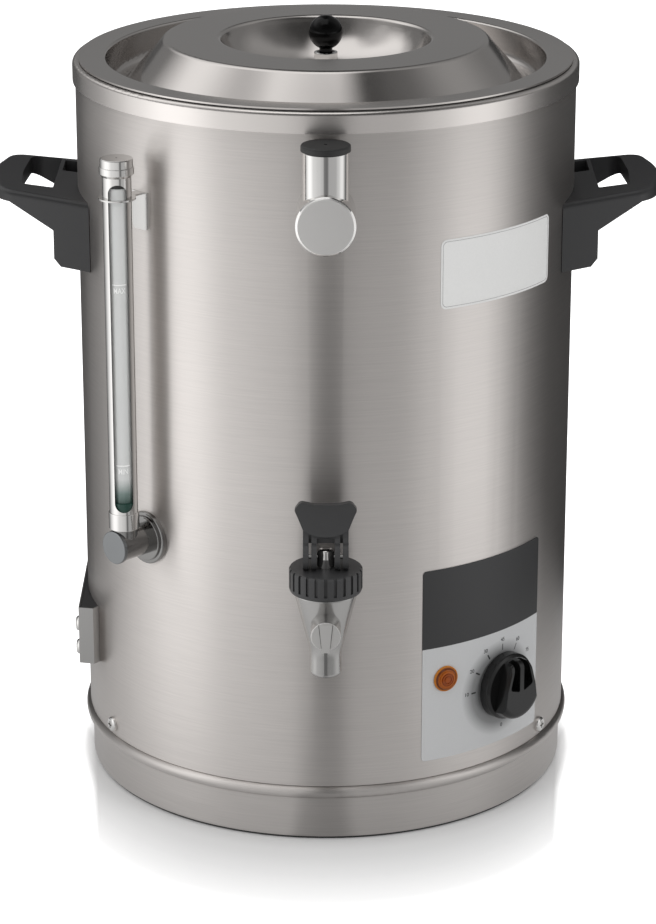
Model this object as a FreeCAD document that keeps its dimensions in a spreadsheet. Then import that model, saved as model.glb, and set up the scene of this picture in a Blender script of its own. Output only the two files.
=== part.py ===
import FreeCAD, Part
import math
import os
import Sketcher

# A water-bath milk warmer of the ten-litre class. Lengths are millimetres, angles are degrees.
# The origin is under the middle of the base, on the surface that the warmer stands on. +Z is up and -Y is the
# front, where the tap is. An azimuth is measured from the front and grows to the right: the tap is at 0 and
# the right handle at 90. A fixture on the shell is drawn in a frame whose +Y points straight out of the shell.

DIMENSIONS = {
    # outer shell
    "body_radius": 153.0,
    "shell_sheet": 1.0,
    "shell_foot": 36.6,
    "shell_top": 451.8,
    # top collar
    "collar_radius": 154.65,
    "collar_foot": 443.0,
    "collar_top": 455.3,
    "collar_sheet": 1.2,
    "collar_lip_radius": 147.0,
    "collar_bend": 2.6,
    # base ring
    "ring_sheet": 1.2,
    "ring_radius": 151.5,
    "ring_foot": 1.5,
    "ring_flange_radius": 138.0,
    "bead_foot": 28.4,
    "bead_top": 36.4,
    "bead_radius": 155.6,
    "bead_round": 3.6,
    "spigot_radius": 151.8,
    "spigot_top": 52.0,
    "base_screw_height": 43.4,
    "base_screw_azimuth": 61.0,
    # base plate, foot strip and tie rod
    "plate_level": 9.7,
    "plate_sheet": 1.0,
    "plate_step_radius": 135.2,
    "plate_rim_level": 3.7,
    "plate_radius": 149.5,
    "vent_inner": 62.0,
    "vent_outer": 90.0,
    "vent_width": 5.0,
    "vent_count": 12,
    "strip_radius": 149.5,
    "strip_inner_radius": 136.4,
    "strip_lip_top": 2.6,
    "strip_sweep": 350.0,
    "rod_radius": 3.0,
    "rod_foot": 2.6,
    "base_nut_height": 5.0,
    "base_nut_width": 10.0,
    # water tank
    "tank_inner_radius": 145.0,
    "tank_sheet": 1.0,
    "tank_floor": 139.0,
    "tank_bend": 8.0,
    "tank_rim_top": 452.8,
    "tank_rim_radius": 152.9,
    # rim seal between tank and pot
    "seal_inner_radius": 139.0,
    "seal_outer_radius": 152.0,
    "seal_top": 453.4,
    # milk pot
    "pot_inner_radius": 136.6,
    "pot_sheet": 0.7,
    "pot_floor": 171.0,
    "pot_bend": 15.0,
    "pot_rim_top": 454.1,
    "pot_rim_radius": 152.0,
    "drain_reach": 112.0,
    "drain_radius": 6.5,
    "drain_wall": 1.0,
    "drain_bend": 9.5,
    # lid, one pressed sheet
    "lid_sheet": 1.0,
    "lid_rim_radius": 150.7,
    "lid_top": 456.8,
    "lid_wall_top_radius": 134.2,
    "lid_wall_foot_radius": 132.4,
    "lid_trough": 438.0,
    "lid_trough_radius": 124.2,
    "lid_crown_radius": 98.7,
    "lid_crown": 467.0,
    "dish_edge_radius": 64.5,
    "dish_foot_radius": 53.0,
    "dish_floor": 438.0,
    "dish_bend": 40.0,
    "lid_seal_inner_radius": 143.0,
    "lid_seal_outer_radius": 150.2,
    # lid stem, knob and screw
    "stem_radius": 7.25,
    "stem_top": 457.6,
    "stem_recess_radius": 5.4,
    "stem_recess": 1.6,
    "ball_radius": 10.4,
    "ball_height": 469.6,
    "ball_neck_radius": 4.0,
    "lid_screw_radius": 2.5,
    "lid_screw_head_radius": 4.8,
    "lid_screw_head": 3.0,
    # filler
    "filler_height": 397.0,
    "filler_radius": 17.25,
    "filler_face": 187.0,
    "filler_bevel": 1.3,
    "filler_reach": 169.8,
    "filler_tube_radius": 13.2,
    "filler_tube_top": 437.0,
    "filler_bore": 11.5,
    "filler_shank_radius": 11.0,
    "filler_shank_bore": 8.5,
    "shank_end": 138.2,
    "filler_nut_width": 30.0,
    "filler_seal_radius": 15.0,
    "tank_seal_face": 144.2,
    "tank_seal_thickness": 2.0,
    "tank_nut_width": 24.0,
    "tank_nut_height": 4.4,
    "cap_radius": 14.3,
    "cap_thickness": 3.6,
    "cap_gap": 0.2,
    "cap_skirt_radius": 11.3,
    "cap_skirt_bore": 8.6,
    "cap_skirt": 8.0,
    "cap_vent_radius": 1.0,
    # level gauge
    "gauge_azimuth": -45.0,
    "gauge_reach": 171.5,
    "gauge_height": 182.0,
    "gauge_elbow_radius": 9.5,
    "gauge_plug_radius": 10.2,
    "gauge_plug_face": 180.5,
    "gauge_plug_thickness": 2.5,
    "gauge_plug_thread": 6.0,
    "gauge_rosette_radius": 16.35,
    "gauge_rosette_step": 14.0,
    "gauge_rosette_face": 157.0,
    "gauge_shank_radius": 8.0,
    "gauge_shank_bore": 4.5,
    "gauge_stub_radius": 8.0,
    "gauge_stub_top": 196.0,
    "lower_collar_radius": 9.2,
    "lower_collar_foot": 193.0,
    "lower_collar_top": 203.5,
    "guard_radius": 8.6,
    "guard_bore": 7.3,
    "guard_top": 410.3,
    "guard_slot_width": 10.9,
    "guard_slot_foot": 205.1,
    "guard_slot_top": 406.6,
    "guard_slot_azimuth": 5.0,
    "glass_radius": 6.2,
    "glass_wall": 1.2,
    "glass_foot": 190.0,
    "glass_top": 409.0,
    "bottom_seal_top": 210.0,
    "top_seal_foot": 404.0,
    "gauge_cap_top": 421.0,
    "gauge_cap_radius": 9.7,
    "gauge_cap_band_radius": 10.25,
    "gauge_cap_band_top": 416.0,
    "gauge_cap_band_foot": 412.0,
    "gauge_cap_vent_radius": 0.6,
    "bracket_level": 397.7,
    "bracket_sheet": 1.0,
    "bracket_ring_radius": 11.0,
    "bracket_neck_width": 7.0,
    "bracket_tab_width": 13.4,
    "bracket_tab_foot": 375.0,
    "bracket_tab_round": 3.0,
    # tap
    "tap_reach": 181.0,
    "tap_barrel_height": 158.8,
    "tap_spout_foot": 123.0,
    "tap_spout_radius": 9.6,
    "tap_waist_radius": 9.35,
    "tap_waist_height": 138.0,
    "tap_mouth_radius": 19.0,
    "tap_mouth_height": 176.0,
    "tap_thread_radius": 17.1,
    "tap_thread_top": 186.0,
    "tap_barrel_radius": 8.75,
    "tap_barrel_face": 31.0,
    "tap_flange_radius": 12.0,
    "tap_flange_thickness": 5.0,
    "tap_washer_radius": 13.0,
    "tap_washer_face": 154.2,
    "tap_shank_radius": 8.0,
    "tap_outlet_bore": 6.5,
    "tap_seat_level": 149.0,
    "tap_chamber_bore": 9.2,
    "tongue_top_width": 7.6,
    "tongue_foot_width": 4.4,
    "tongue_top": 166.5,
    "tongue_foot": 149.0,
    "tongue_proud": 0.8,
    "tap_rib_width": 1.9,
    "tap_rib_proud": 0.6,
    "bonnet_radius": 21.6,
    "bonnet_foot": 176.5,
    "bonnet_top": 190.5,
    "bonnet_roof": 4.0,
    "bonnet_bore": 17.2,
    "bonnet_hole": 5.1,
    "bonnet_round": 1.5,
    "flute_count": 24,
    "flute_width": 1.9,
    "flute_depth": 1.2,
    "flute_foot": 179.0,
    "plunger_radius": 5.0,
    "plunger_top": 202.2,
    "plunger_shoulder": 178.0,
    "plunger_stem_radius": 2.5,
    "pin_height": 197.0,
    "pin_radius": 1.5,
    "pin_length": 26.2,
    "seat_gap": 0.25,
    "seat_radius": 8.5,
    "seat_cup_top": 158.0,
    "seat_hub_radius": 4.5,
    "seat_top": 160.5,
    "spring_radius": 7.0,
    "spring_wire": 0.75,
    "spring_foot": 161.3,
    "spring_top": 185.5,
    "spring_turns": 5,
    # tap lever, drawn about its pin
    "foot_disc_radius": 8.4,
    "foot_disc_ahead": 3.46,
    "foot_disc_above": 2.0,
    "lever_wall_outer": 13.3,
    "lever_wall_inner": 10.0,
    "lever_rib_outer": 8.4,
    "lever_rib_inner": 5.2,
    "lever_web_foot": 9.0,
    "lever_web_face": 2.0,
    "lever_window_top": 12.4,
    "lever_slot_top": 14.4,
    "lever_arm_top": 20.0,
    "paddle_foot": 17.3,
    "paddle_foot_width": 26.6,
    "paddle_tip": 9.0,
    "paddle_tip_round": 24.5,
    "paddle_width": 36.7,
    "paddle_top": 35.4,
    "paddle_dip": 1.6,
    "paddle_thickness": 3.6,
    "paddle_hollow_radius": 26.0,
    "paddle_hollow_ahead": 29.0,
    "paddle_hollow_above": 22.0,
    # control panel, lamp and thermostat
    "panel_azimuth": 40.5,
    "panel_span": 36.3,
    "panel_foot": 47.8,
    "panel_top": 171.8,
    "panel_thickness": 0.4,
    "panel_round": 2.5,
    "lamp_azimuth": 28.25,
    "lamp_height": 100.3,
    "lamp_radius": 8.15,
    "lamp_rim": 1.2,
    "lamp_dome": 3.4,
    "lamp_barrel_radius": 5.0,
    "lamp_body_radius": 4.6,
    "lamp_body_end": 132.0,
    "lens_ring_width": 0.5,
    "lens_ring_depth": 0.35,
    "knob_azimuth": 45.0,
    "knob_height": 85.7,
    "knob_foot": 154.5,
    "knob_skirt_radius": 21.0,
    "knob_skirt_face": 160.0,
    "knob_face": 170.0,
    "knob_face_radius": 18.6,
    "knob_scoop_floor": 161.5,
    "knob_grip_half_width": 12.4,
    "knob_tip_half_width": 6.4,
    "knob_wall": 1.8,
    "knob_pointer_width": 3.5,
    "knob_pocket_floor": 163.5,
    "shaft_radius": 3.0,
    "shaft_clearance": 0.05,
    "shaft_end": 130.0,
    "shaft_tip": 162.5,
    "thermostat_width": 38.0,
    "thermostat_back": 121.0,
    "thermostat_face": 149.0,
    "thermostat_screw_offset": 14.0,
    "small_screw_radius": 1.5,
    "small_screw_head_radius": 2.6,
    "capillary_radius": 1.2,
    "bulb_radius": 3.2,
    "bulb_level": 134.6,
    # handles
    "handle_root_half_width": 55.0,
    "handle_root": 143.0,
    "handle_corner_half_width": 46.0,
    "handle_corner": 199.0,
    "handle_reach": 207.5,
    "handle_top_at_shell": 377.3,
    "handle_slope": 0.137,
    "handle_rim_foot": 375.6,
    "handle_rim_inner": 191.5,
    "handle_leg_face": 165.0,
    "handle_leg_knee": 358.6,
    "handle_leg_foot": 336.0,
    "handle_foot_at_root": 333.0,
    "handle_wall": 4.0,
    "handle_corner_round": 14.0,
    "handle_edge_round": 4.0,
    "grip_inner": 166.6,
    "grip_outer": 187.2,
    "grip_front": 27.0,
    "grip_rear": 43.0,
    "recess_side": 17.0,
    "recess_edge": 164.2,
    "arm_hollow_end": 182.0,
    "recess_floor": 366.0,
    "handle_screw_offset": 30.0,
    "handle_screw_height": 355.0,
    "handle_boss_radius": 5.5,
    "handle_screw_radius": 2.5,
    "handle_screw_head_radius": 4.5,
    "handle_screw_head": 2.0,
    "handle_screw_seat": 145.9,
    "handle_screw_length": 14.0,
    "handle_plate_half_width": 40.0,
    "handle_plate_height": 18.0,
    "handle_plate_sheet": 2.0,
    # inlet housing and its cover, left side
    "inlet_face": 155.5,
    "inlet_sheet": 0.9,
    "inlet_half_width": 57.5,
    "inlet_end_half_width": 59.5,
    "inlet_end_face": 146.2,
    "inlet_root_half_width": 55.2,
    "inlet_foot": 78.1,
    "inlet_top": 115.6,
    "inlet_recess": 0.6,
    "inlet_screw_offset": 46.0,
    "inlet_screw_low": 84.7,
    "inlet_screw_high": 100.4,
    "bushing_radius": 4.6,
    "bushing_flange_radius": 5.5,
    "bushing_flange": 1.5,
    "bushing_length": 14.0,
    "bushing_bore": 3.75,
    "bushing_height": 107.5,
    "bushing_reach": 150.6,
    # heating element and safety cut-out
    "element_radius": 90.0,
    "element_tube": 4.2,
    "element_height": 150.0,
    "element_sweep": 330.0,
    "element_foot": 118.0,
    "element_nut_width": 15.0,
    "element_nut_height": 5.0,
    "cutout_radius": 13.0,
    "cutout_height": 8.0,
    # terminal block
    "terminal_length": 46.0,
    "terminal_width": 20.0,
    "terminal_height": 16.0,
    "terminal_slot": 8.0,
    # pan-head screws
    "pan_head_radius": 4.75,
    "pan_head_height": 2.6,
    "pan_head_round": 1.8,
    "pan_shank_radius": 2.5,
    "cross_length": 2.3,
    "cross_width": 0.55,
    "cross_depth": 1.4,
}

Vector = FreeCAD.Vector
Rotation = FreeCAD.Rotation
Placement = FreeCAD.Placement
UP = Vector(0, 0, 1)
HEX_CORNER = 1 / math.sqrt(3)

doc = FreeCAD.newDocument("milk_warmer")


class Size:
    """A number of the sheet, or one worked out from several, with the expression that binds it."""

    def __init__(self, value, text):
        self.value = value
        self.text = text

    def __add__(self, other):
        return Size(self.value + number(other), f"({self.text} + {expression(other)})")

    def __radd__(self, other):
        return Size(number(other) + self.value, f"({expression(other)} + {self.text})")

    def __sub__(self, other):
        return Size(self.value - number(other), f"({self.text} - {expression(other)})")

    def __rsub__(self, other):
        return Size(number(other) - self.value, f"({expression(other)} - {self.text})")

    def __mul__(self, other):
        return Size(self.value * number(other), f"({self.text} * {expression(other)})")

    __rmul__ = __mul__

    def __truediv__(self, other):
        return Size(self.value / number(other), f"({self.text} / {expression(other)})")

    def __neg__(self):
        return self * -1


def number(size):
    return size.value if isinstance(size, Size) else float(size)


def expression(size):
    return size.text if isinstance(size, Size) else repr(float(size))


class Sheet:
    """The spreadsheet of driving dimensions, each one also an attribute of this object."""

    def __init__(self, dimensions):
        cells = doc.addObject("Spreadsheet::Sheet", "sizes")
        for row, (name, value) in enumerate(dimensions.items(), start=1):
            cells.set(f"A{row}", name)
            cells.set(f"B{row}", str(value))
            cells.setAlias(f"B{row}", name)
            setattr(self, name, Size(float(value), f"sizes.{name}"))
        doc.recompute()


def bind(feature, prop, size):
    """Sets a property and ties it to the sheet."""
    if isinstance(size, Size):
        feature.setExpression(prop, size.text)
    else:
        setattr(feature, prop, size)


def wall_place(azimuth=0.0, height=0.0, reach=0.0):
    """The frame of a fixture: +Y points out of the shell, from this height and distance from the middle."""
    turn = math.radians(number(azimuth))
    away = number(reach)
    base = Vector(away * math.sin(turn), -away * math.cos(turn), number(height))
    return Placement(base, Rotation(UP, number(azimuth) + 180))


# Sketches

def fix_point(sketch, geometry, position, x, y):
    """Holds a point at x and y from the sketch's origin."""
    held = []
    for kind, axis, size in (("DistanceX", -2, x), ("DistanceY", -1, y)):
        value = number(size)
        if abs(value) < 1e-9:
            sketch.addConstraint(Sketcher.Constraint("PointOnObject", geometry, position, axis))
            continue
        index = sketch.addConstraint(Sketcher.Constraint(kind, -1, 1, geometry, position, value))
        if isinstance(size, Size):
            held.append((index, size))
    for index, size in held:
        sketch.setExpression(f"Constraints[{index}]", size.text)


def corner_points(before, corner, after, radius):
    """The two ends and the middle of the arc that rounds a corner."""
    inward = (before - corner).normalize()
    outward = (after - corner).normalize()
    half = inward.getAngle(outward) / 2
    run = radius / math.tan(half)
    middle = corner + (inward + outward).normalize() * (radius / math.sin(half))
    return corner + inward * run, corner + outward * run, middle


def draw_outline(sketch, corners, closed=True):
    """Draws straight runs through corners (x, y) or (x, y, radius), where the radius rounds the corner."""
    places = [Vector(number(corner[0]), number(corner[1]), 0) for corner in corners]
    count = len(corners)
    entries = []
    for index, corner in enumerate(corners):
        if len(corner) == 3:
            before = places[index - 1]
            after = places[(index + 1) % count]
            first, last, middle = corner_points(before, places[index], after, number(corner[2]))
            left_turn = (places[index] - before).cross(after - places[index]).z > 0
            start, end = (first, last) if left_turn else (last, first)
            angles = [math.atan2(point.y - middle.y, point.x - middle.x) for point in (start, end)]
            circle = Part.Circle(middle, UP, number(corner[2]))
            arc = sketch.addGeometry(Part.ArcOfCircle(circle, angles[0], angles[1]), False)
            entries.append((first, last, arc, (1, 2) if left_turn else (2, 1)))
        else:
            entries.append((places[index], places[index], None, None))
    runs = []
    for index in range(count if closed else count - 1):
        start = entries[index][1]
        end = entries[(index + 1) % count][0]
        runs.append(sketch.addGeometry(Part.LineSegment(start, end), False))
    for index, corner in enumerate(corners):
        arrives = runs[index - 1] if closed or index > 0 else None
        leaves = runs[index] if index < len(runs) else None
        arc, order = entries[index][2:]
        if arc is None:
            if arrives is not None and leaves is not None:
                sketch.addConstraint(Sketcher.Constraint("Coincident", arrives, 2, leaves, 1))
            line, end = (leaves, 1) if leaves is not None else (arrives, 2)
            fix_point(sketch, line, end, corner[0], corner[1])
            continue
        sketch.addConstraint(Sketcher.Constraint("Tangent", arrives, 2, arc, order[0]))
        sketch.addConstraint(Sketcher.Constraint("Tangent", arc, order[1], leaves, 1))
        bound = sketch.addConstraint(Sketcher.Constraint("Radius", arc, number(corner[2])))
        if isinstance(corner[2], Size):
            sketch.setExpression(f"Constraints[{bound}]", corner[2].text)
        tip = sketch.addGeometry(Part.Point(places[index]), True)
        sketch.addConstraint(Sketcher.Constraint("PointOnObject", tip, 1, arrives))
        sketch.addConstraint(Sketcher.Constraint("PointOnObject", tip, 1, leaves))
        fix_point(sketch, tip, 1, corner[0], corner[1])


def draw_circle(sketch, x, y, radius):
    """Draws a circle about x and y."""
    centre = Vector(number(x), number(y), 0)
    circle = sketch.addGeometry(Part.Circle(centre, UP, number(radius)), False)
    if number(x) == 0 and number(y) == 0:
        sketch.addConstraint(Sketcher.Constraint("Coincident", circle, 3, -1, 1))
    else:
        fix_point(sketch, circle, 3, x, y)
    bound = sketch.addConstraint(Sketcher.Constraint("Radius", circle, number(radius)))
    if isinstance(radius, Size):
        sketch.setExpression(f"Constraints[{bound}]", radius.text)


def box_corners(x_low, x_high, y_low, y_high):
    return [(x_low, y_low), (x_high, y_low), (x_high, y_high), (x_low, y_high)]


def hexagon(width):
    """The corners of a hexagon, given the width across its flats."""
    side = width * HEX_CORNER
    half = width / 2
    return [(side, 0), (side / 2, half), (-side / 2, half), (-side, 0), (-side / 2, -half), (side / 2, -half)]


# Features of a body

def new_body(label, placement=None):
    body = doc.addObject("PartDesign::Body", label)
    body.Label = label
    if placement is not None:
        body.Placement = placement
    return body


def origin_part(body, role):
    return next(part for part in body.Origin.OriginFeatures if part.Role == role)


def new_sketch(body, plane, lift=0, turn=None):
    """A sketch on one of the body's own planes, lifted along the plane's normal and perhaps turned."""
    sketch = body.newObject("Sketcher::SketchObject", f"{body.Label}_sketch")
    sketch.AttachmentSupport = [(origin_part(body, plane), "")]
    sketch.MapMode = "FlatFace"
    sketch.AttachmentOffset = Placement(Vector(0, 0, number(lift)), turn or Rotation())
    if isinstance(lift, Size):
        sketch.setExpression("AttachmentOffset.Base.z", lift.text)
    return sketch


def feature_of(body, kind, sketch):
    feature = body.newObject(f"PartDesign::{kind}", f"{body.Label}_{kind.lower()}")
    feature.Profile = sketch
    sketch.Visibility = False
    return feature


def pad(body, sketch, length, symmetric=False, reverse=False):
    feature = feature_of(body, "Pad", sketch)
    feature.SideType = "Symmetric" if symmetric else "One side"
    feature.Reversed = reverse
    bind(feature, "Length", length)
    return feature


def removes(body, make):
    """Runs make, which adds a cut to the body, and stops if the cut takes nothing away."""
    doc.recompute()
    before = body.Shape.Volume
    feature = make()
    doc.recompute()
    if not body.Shape.Volume < before - 1e-3:
        raise RuntimeError(f"a cut takes nothing from {body.Label}")
    return feature


def pocket(body, sketch, length=None, symmetric=False, reverse=False):
    """Cuts a sketch into the body, right through it when no length is given."""
    def make():
        feature = feature_of(body, "Pocket", sketch)
        feature.SideType = "Symmetric" if symmetric else "One side"
        feature.Reversed = reverse
        if length is None:
            feature.Type = "ThroughAll"
        else:
            bind(feature, "Length", length)
        return feature
    return removes(body, make)


def revolve(body, sketch, axis="V_Axis", angle=360, symmetric=False):
    feature = feature_of(body, "Revolution", sketch)
    feature.ReferenceAxis = (sketch, [axis])
    feature.Midplane = symmetric
    bind(feature, "Angle", angle)
    return feature


def groove(body, sketch, axis="V_Axis"):
    def make():
        feature = feature_of(body, "Groove", sketch)
        feature.ReferenceAxis = (sketch, [axis])
        feature.Angle = 360
        return feature
    return removes(body, make)


def polar(body, features, count):
    """Repeats features round the body's own Z axis."""
    pattern = body.newObject("PartDesign::PolarPattern", f"{body.Label}_pattern")
    pattern.Originals = features
    pattern.Axis = (origin_part(body, "Z_Axis"), [""])
    pattern.Angle = 360
    bind(pattern, "Occurrences", count)
    body.Tip = pattern
    return pattern


def round_edges(body, radius, chosen):
    """Rounds every edge of the body that chosen accepts."""
    doc.recompute()
    base = body.Tip
    names = [f"Edge{index}" for index, edge in enumerate(base.Shape.Edges, start=1) if chosen(edge)]
    if not names:
        raise RuntimeError(f"no edge of {body.Label} to round")
    feature = body.newObject("PartDesign::Fillet", f"{body.Label}_fillet")
    feature.Base = (base, names)
    bind(feature, "Radius", radius)
    return feature


def seat_on_cylinder(body, radius, reach=0, drop=400):
    """Cuts away what lies inside an upright cylinder about the dispenser's axis."""
    def make():
        cut = body.newObject("PartDesign::SubtractiveCylinder", f"{body.Label}_saddle")
        cut.AttachmentSupport = [(origin_part(body, "XY_Plane"), "")]
        cut.MapMode = "FlatFace"
        cut.AttachmentOffset = Placement(Vector(0, -number(reach), -drop), Rotation())
        if isinstance(reach, Size):
            cut.setExpression("AttachmentOffset.Base.y", (-reach).text)
        cut.Height = 2 * drop
        bind(cut, "Radius", radius)
        return cut
    return removes(body, make)


def turned(label, corners, placement=None):
    """A body turned about its own Z axis from corners (radius, height)."""
    body = new_body(label, placement)
    sketch = new_sketch(body, "XZ_Plane")
    draw_outline(sketch, corners)
    revolve(body, sketch)
    return body


def turned_outward(label, corners, placement):
    """A body turned about its own Y axis from corners (distance out, radius)."""
    body = new_body(label, placement)
    sketch = new_sketch(body, "YZ_Plane")
    draw_outline(sketch, corners)
    revolve(body, sketch, "H_Axis")
    return body


def add_turned_outward(body, corners):
    sketch = new_sketch(body, "YZ_Plane")
    draw_outline(sketch, corners)
    return revolve(body, sketch, "H_Axis")


def bore_outward(body, corners):
    sketch = new_sketch(body, "YZ_Plane")
    draw_outline(sketch, corners)
    return groove(body, sketch, "H_Axis")


def pressed(label, line, thickness):
    """A round pressing: one line of its section, made into sheet on the line's left, and turned."""
    profile = doc.addObject("Sketcher::SketchObject", f"{label}_line")
    profile.Placement = Placement(Vector(), Rotation(Vector(1, 0, 0), 90))
    draw_outline(profile, line, closed=False)
    section = doc.addObject("Part::Offset2D", f"{label}_section")
    section.Source = profile
    section.Mode = "Skin"
    section.Join = "Intersection"
    section.Fill = True
    bind(section, "Value", thickness)
    pressing = doc.addObject("Part::Revolution", label)
    pressing.Source = section
    pressing.Axis = UP
    pressing.Solid = True
    return pressing


def rod(name, radius, length, placement):
    """A plain cylinder along the placement's own Z."""
    cylinder = doc.addObject("Part::Cylinder", name)
    bind(cylinder, "Radius", radius)
    bind(cylinder, "Height", length)
    cylinder.Placement = placement
    return cylinder


def drill(label, solid, tools):
    """The solid less its tools, as the sub-part of this name."""
    holes = doc.addObject("Part::Compound", f"{label}_holes")
    holes.Links = tools
    cut = doc.addObject("Part::Cut", label)
    cut.Base = solid
    cut.Tool = holes
    return cut


def group(label, bodies):
    """Identical fasteners that share one sub-part."""
    together = doc.addObject("Part::Compound", label)
    together.Links = bodies
    return together


def radial_sketch(body, azimuth):
    """A sketch through the dispenser's axis that faces out at this azimuth, its x along the shell."""
    return new_sketch(body, "XZ_Plane", turn=Rotation(Vector(0, 1, 0), number(azimuth)))


def outward_from(placement):
    """The placement of a cylinder that lies along the frame's +Y."""
    return placement * Placement(Vector(), Rotation(Vector(1, 0, 0), -90))


s = Sheet(DIMENSIONS)
screw_turn = s.base_screw_azimuth.value
base_screw_azimuths = (screw_turn - 180, -screw_turn, screw_turn, 180 - screw_turn)
gauge_place = wall_place(s.gauge_azimuth)
gauge_axis_place = wall_place(s.gauge_azimuth, 0, s.gauge_reach)
tap_place = wall_place(0, 0, s.tap_reach)
filler_place = wall_place(0, s.filler_height)
knob_place = wall_place(s.knob_azimuth, s.knob_height)
lamp_place = wall_place(s.lamp_azimuth, s.lamp_height)
left_place = wall_place(-90)
right_place = wall_place(90)


# Fasteners

def pan_screw(label, placement, length):
    """A cross-recessed pan-head screw whose head seats on its own origin and points along +Y."""
    body = new_body(label, placement)
    sketch = new_sketch(body, "XY_Plane")
    head = s.pan_head_height
    draw_outline(sketch, [
        (0, -length), (s.pan_shank_radius, -length), (s.pan_shank_radius, 0), (s.pan_head_radius, 0),
        (s.pan_head_radius, head, s.pan_head_round), (0, head)])
    revolve(body, sketch)
    cross = new_sketch(body, "XZ_Plane", lift=-head)
    a = s.cross_length
    b = s.cross_width
    draw_outline(cross, [
        (b, a), (b, b), (a, b), (a, -b), (b, -b), (b, -a),
        (-b, -a), (-b, -b), (-a, -b), (-a, b), (-b, b), (-b, a)])
    pocket(body, cross, s.cross_depth, reverse=True)
    return body


def hex_nut(label, placement, width, height, bore):
    """A nut on its own origin, its thickness along +Z."""
    body = new_body(label, placement)
    sketch = new_sketch(body, "XY_Plane")
    draw_outline(sketch, hexagon(width))
    draw_circle(sketch, 0, 0, bore)
    pad(body, sketch, height)
    return body


def tank_nut(label, place, width, outer_face, bore):
    """A nut inside the tank that pulls a fitting's shank inward against a face at this distance out."""
    spot = place * Placement(Vector(0, number(outer_face), 0), Rotation(Vector(1, 0, 0), 90))
    return hex_nut(label, spot, width, s.tank_nut_height, bore)


def make_tank_nuts():
    group("tank_nuts", [
        tank_nut("gauge_nut", gauge_place * Placement(Vector(0, 0, s.gauge_height.value), Rotation()),
                 s.tank_nut_width, s.tank_seal_face, s.gauge_shank_radius),
        tank_nut("tap_nut", wall_place(0, s.tap_barrel_height), s.tank_nut_width, s.tank_seal_face,
                 s.tap_shank_radius)])


# Vessels and casings

def make_outer_shell():
    body = new_body("outer_shell")
    ring = new_sketch(body, "XY_Plane", lift=s.shell_foot)
    draw_circle(ring, 0, 0, s.body_radius)
    draw_circle(ring, 0, 0, s.body_radius - s.shell_sheet)
    pad(body, ring, s.shell_top - s.shell_foot)
    handle_holes = [(side * s.handle_screw_offset, s.handle_screw_height, s.handle_screw_radius + 0.2)
                    for side in (-1, 1)]
    inlet_holes = [(side * s.inlet_screw_offset, height, s.pan_shank_radius)
                   for side in (-1, 1) for height in (s.inlet_screw_low, s.inlet_screw_high)]
    shaft_holes = [(side * s.thermostat_screw_offset, s.knob_height, s.small_screw_radius + 0.2)
                   for side in (-1, 1)]
    holes = {
        0.0: [(0, s.tap_barrel_height, s.tap_shank_radius + 0.2), (0, s.filler_height, s.filler_shank_radius)],
        s.gauge_azimuth: [(0, s.gauge_height, s.gauge_shank_radius)],
        s.lamp_azimuth: [(0, s.lamp_height, s.lamp_barrel_radius)],
        s.knob_azimuth: [(0, s.knob_height, 4.5)] + shaft_holes,
        90.0: handle_holes,
        -90.0: handle_holes + inlet_holes,
    }
    for azimuth in base_screw_azimuths:
        holes[azimuth] = [(0, s.base_screw_height, s.pan_shank_radius)]
    for azimuth, circles in holes.items():
        sketch = radial_sketch(body, azimuth)
        for x, height, radius in circles:
            draw_circle(sketch, x, height, radius)
        pocket(body, sketch, reverse=True)


def make_top_collar():
    pressed("top_collar", [
        (s.collar_radius, s.collar_foot), (s.collar_radius, s.collar_top, s.collar_bend),
        (s.collar_lip_radius, s.collar_top)], s.collar_sheet)


def make_base_ring():
    solid = pressed("base_ring_sheet", [
        (s.ring_flange_radius, s.ring_foot), (s.ring_radius, s.ring_foot, 2.0), (s.ring_radius, s.bead_foot),
        (s.bead_radius, s.bead_foot, s.bead_round), (s.bead_radius, s.bead_top, s.bead_round),
        (s.spigot_radius, s.bead_top), (s.spigot_radius, s.spigot_top)], s.ring_sheet)
    tools = []
    for azimuth in base_screw_azimuths:
        place = outward_from(wall_place(azimuth, s.base_screw_height, 140.0))
        tools.append(rod("base_ring_hole", s.pan_shank_radius, 20.0, place))
    drill("base_ring", solid, tools)


def make_base_plate():
    body = new_body("base_plate")
    section = new_sketch(body, "XZ_Plane")
    under = s.plate_level - s.plate_sheet
    rim_under = s.plate_rim_level - s.plate_sheet
    step = s.plate_step_radius
    draw_outline(section, [
        (0, under), (step - 1.2, under, 1.0), (step, rim_under, 2.0), (s.plate_radius, rim_under),
        (s.plate_radius, s.plate_rim_level), (step + 1.2, s.plate_rim_level, 1.0),
        (step, s.plate_level, 2.0), (0, s.plate_level)])
    revolve(body, section)
    middle = new_sketch(body, "XY_Plane")
    draw_circle(middle, 0, 0, s.rod_radius + 0.2)
    pocket(body, middle, reverse=True)
    vent = new_sketch(body, "XY_Plane")
    half = s.vent_width / 2
    draw_outline(vent, [
        (s.vent_inner, -half, 2.0), (s.vent_outer, -half, 2.0), (s.vent_outer, half, 2.0),
        (s.vent_inner, half, 2.0)])
    polar(body, [pocket(body, vent, reverse=True)], s.vent_count)


def make_foot_strip():
    """A rubber edging under the base ring, hooked over its flange, with its open joint at the back."""
    body = new_body("foot_strip", Placement(Vector(), Rotation(UP, -90)))
    section = new_sketch(body, "XZ_Plane")
    draw_outline(section, [
        (s.strip_inner_radius, 0), (s.strip_radius, 0, 0.5), (s.strip_radius, s.ring_foot),
        (s.ring_flange_radius, s.ring_foot), (s.ring_flange_radius, s.strip_lip_top),
        (s.strip_inner_radius, s.strip_lip_top)])
    revolve(body, section, angle=s.strip_sweep, symmetric=True)


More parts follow.
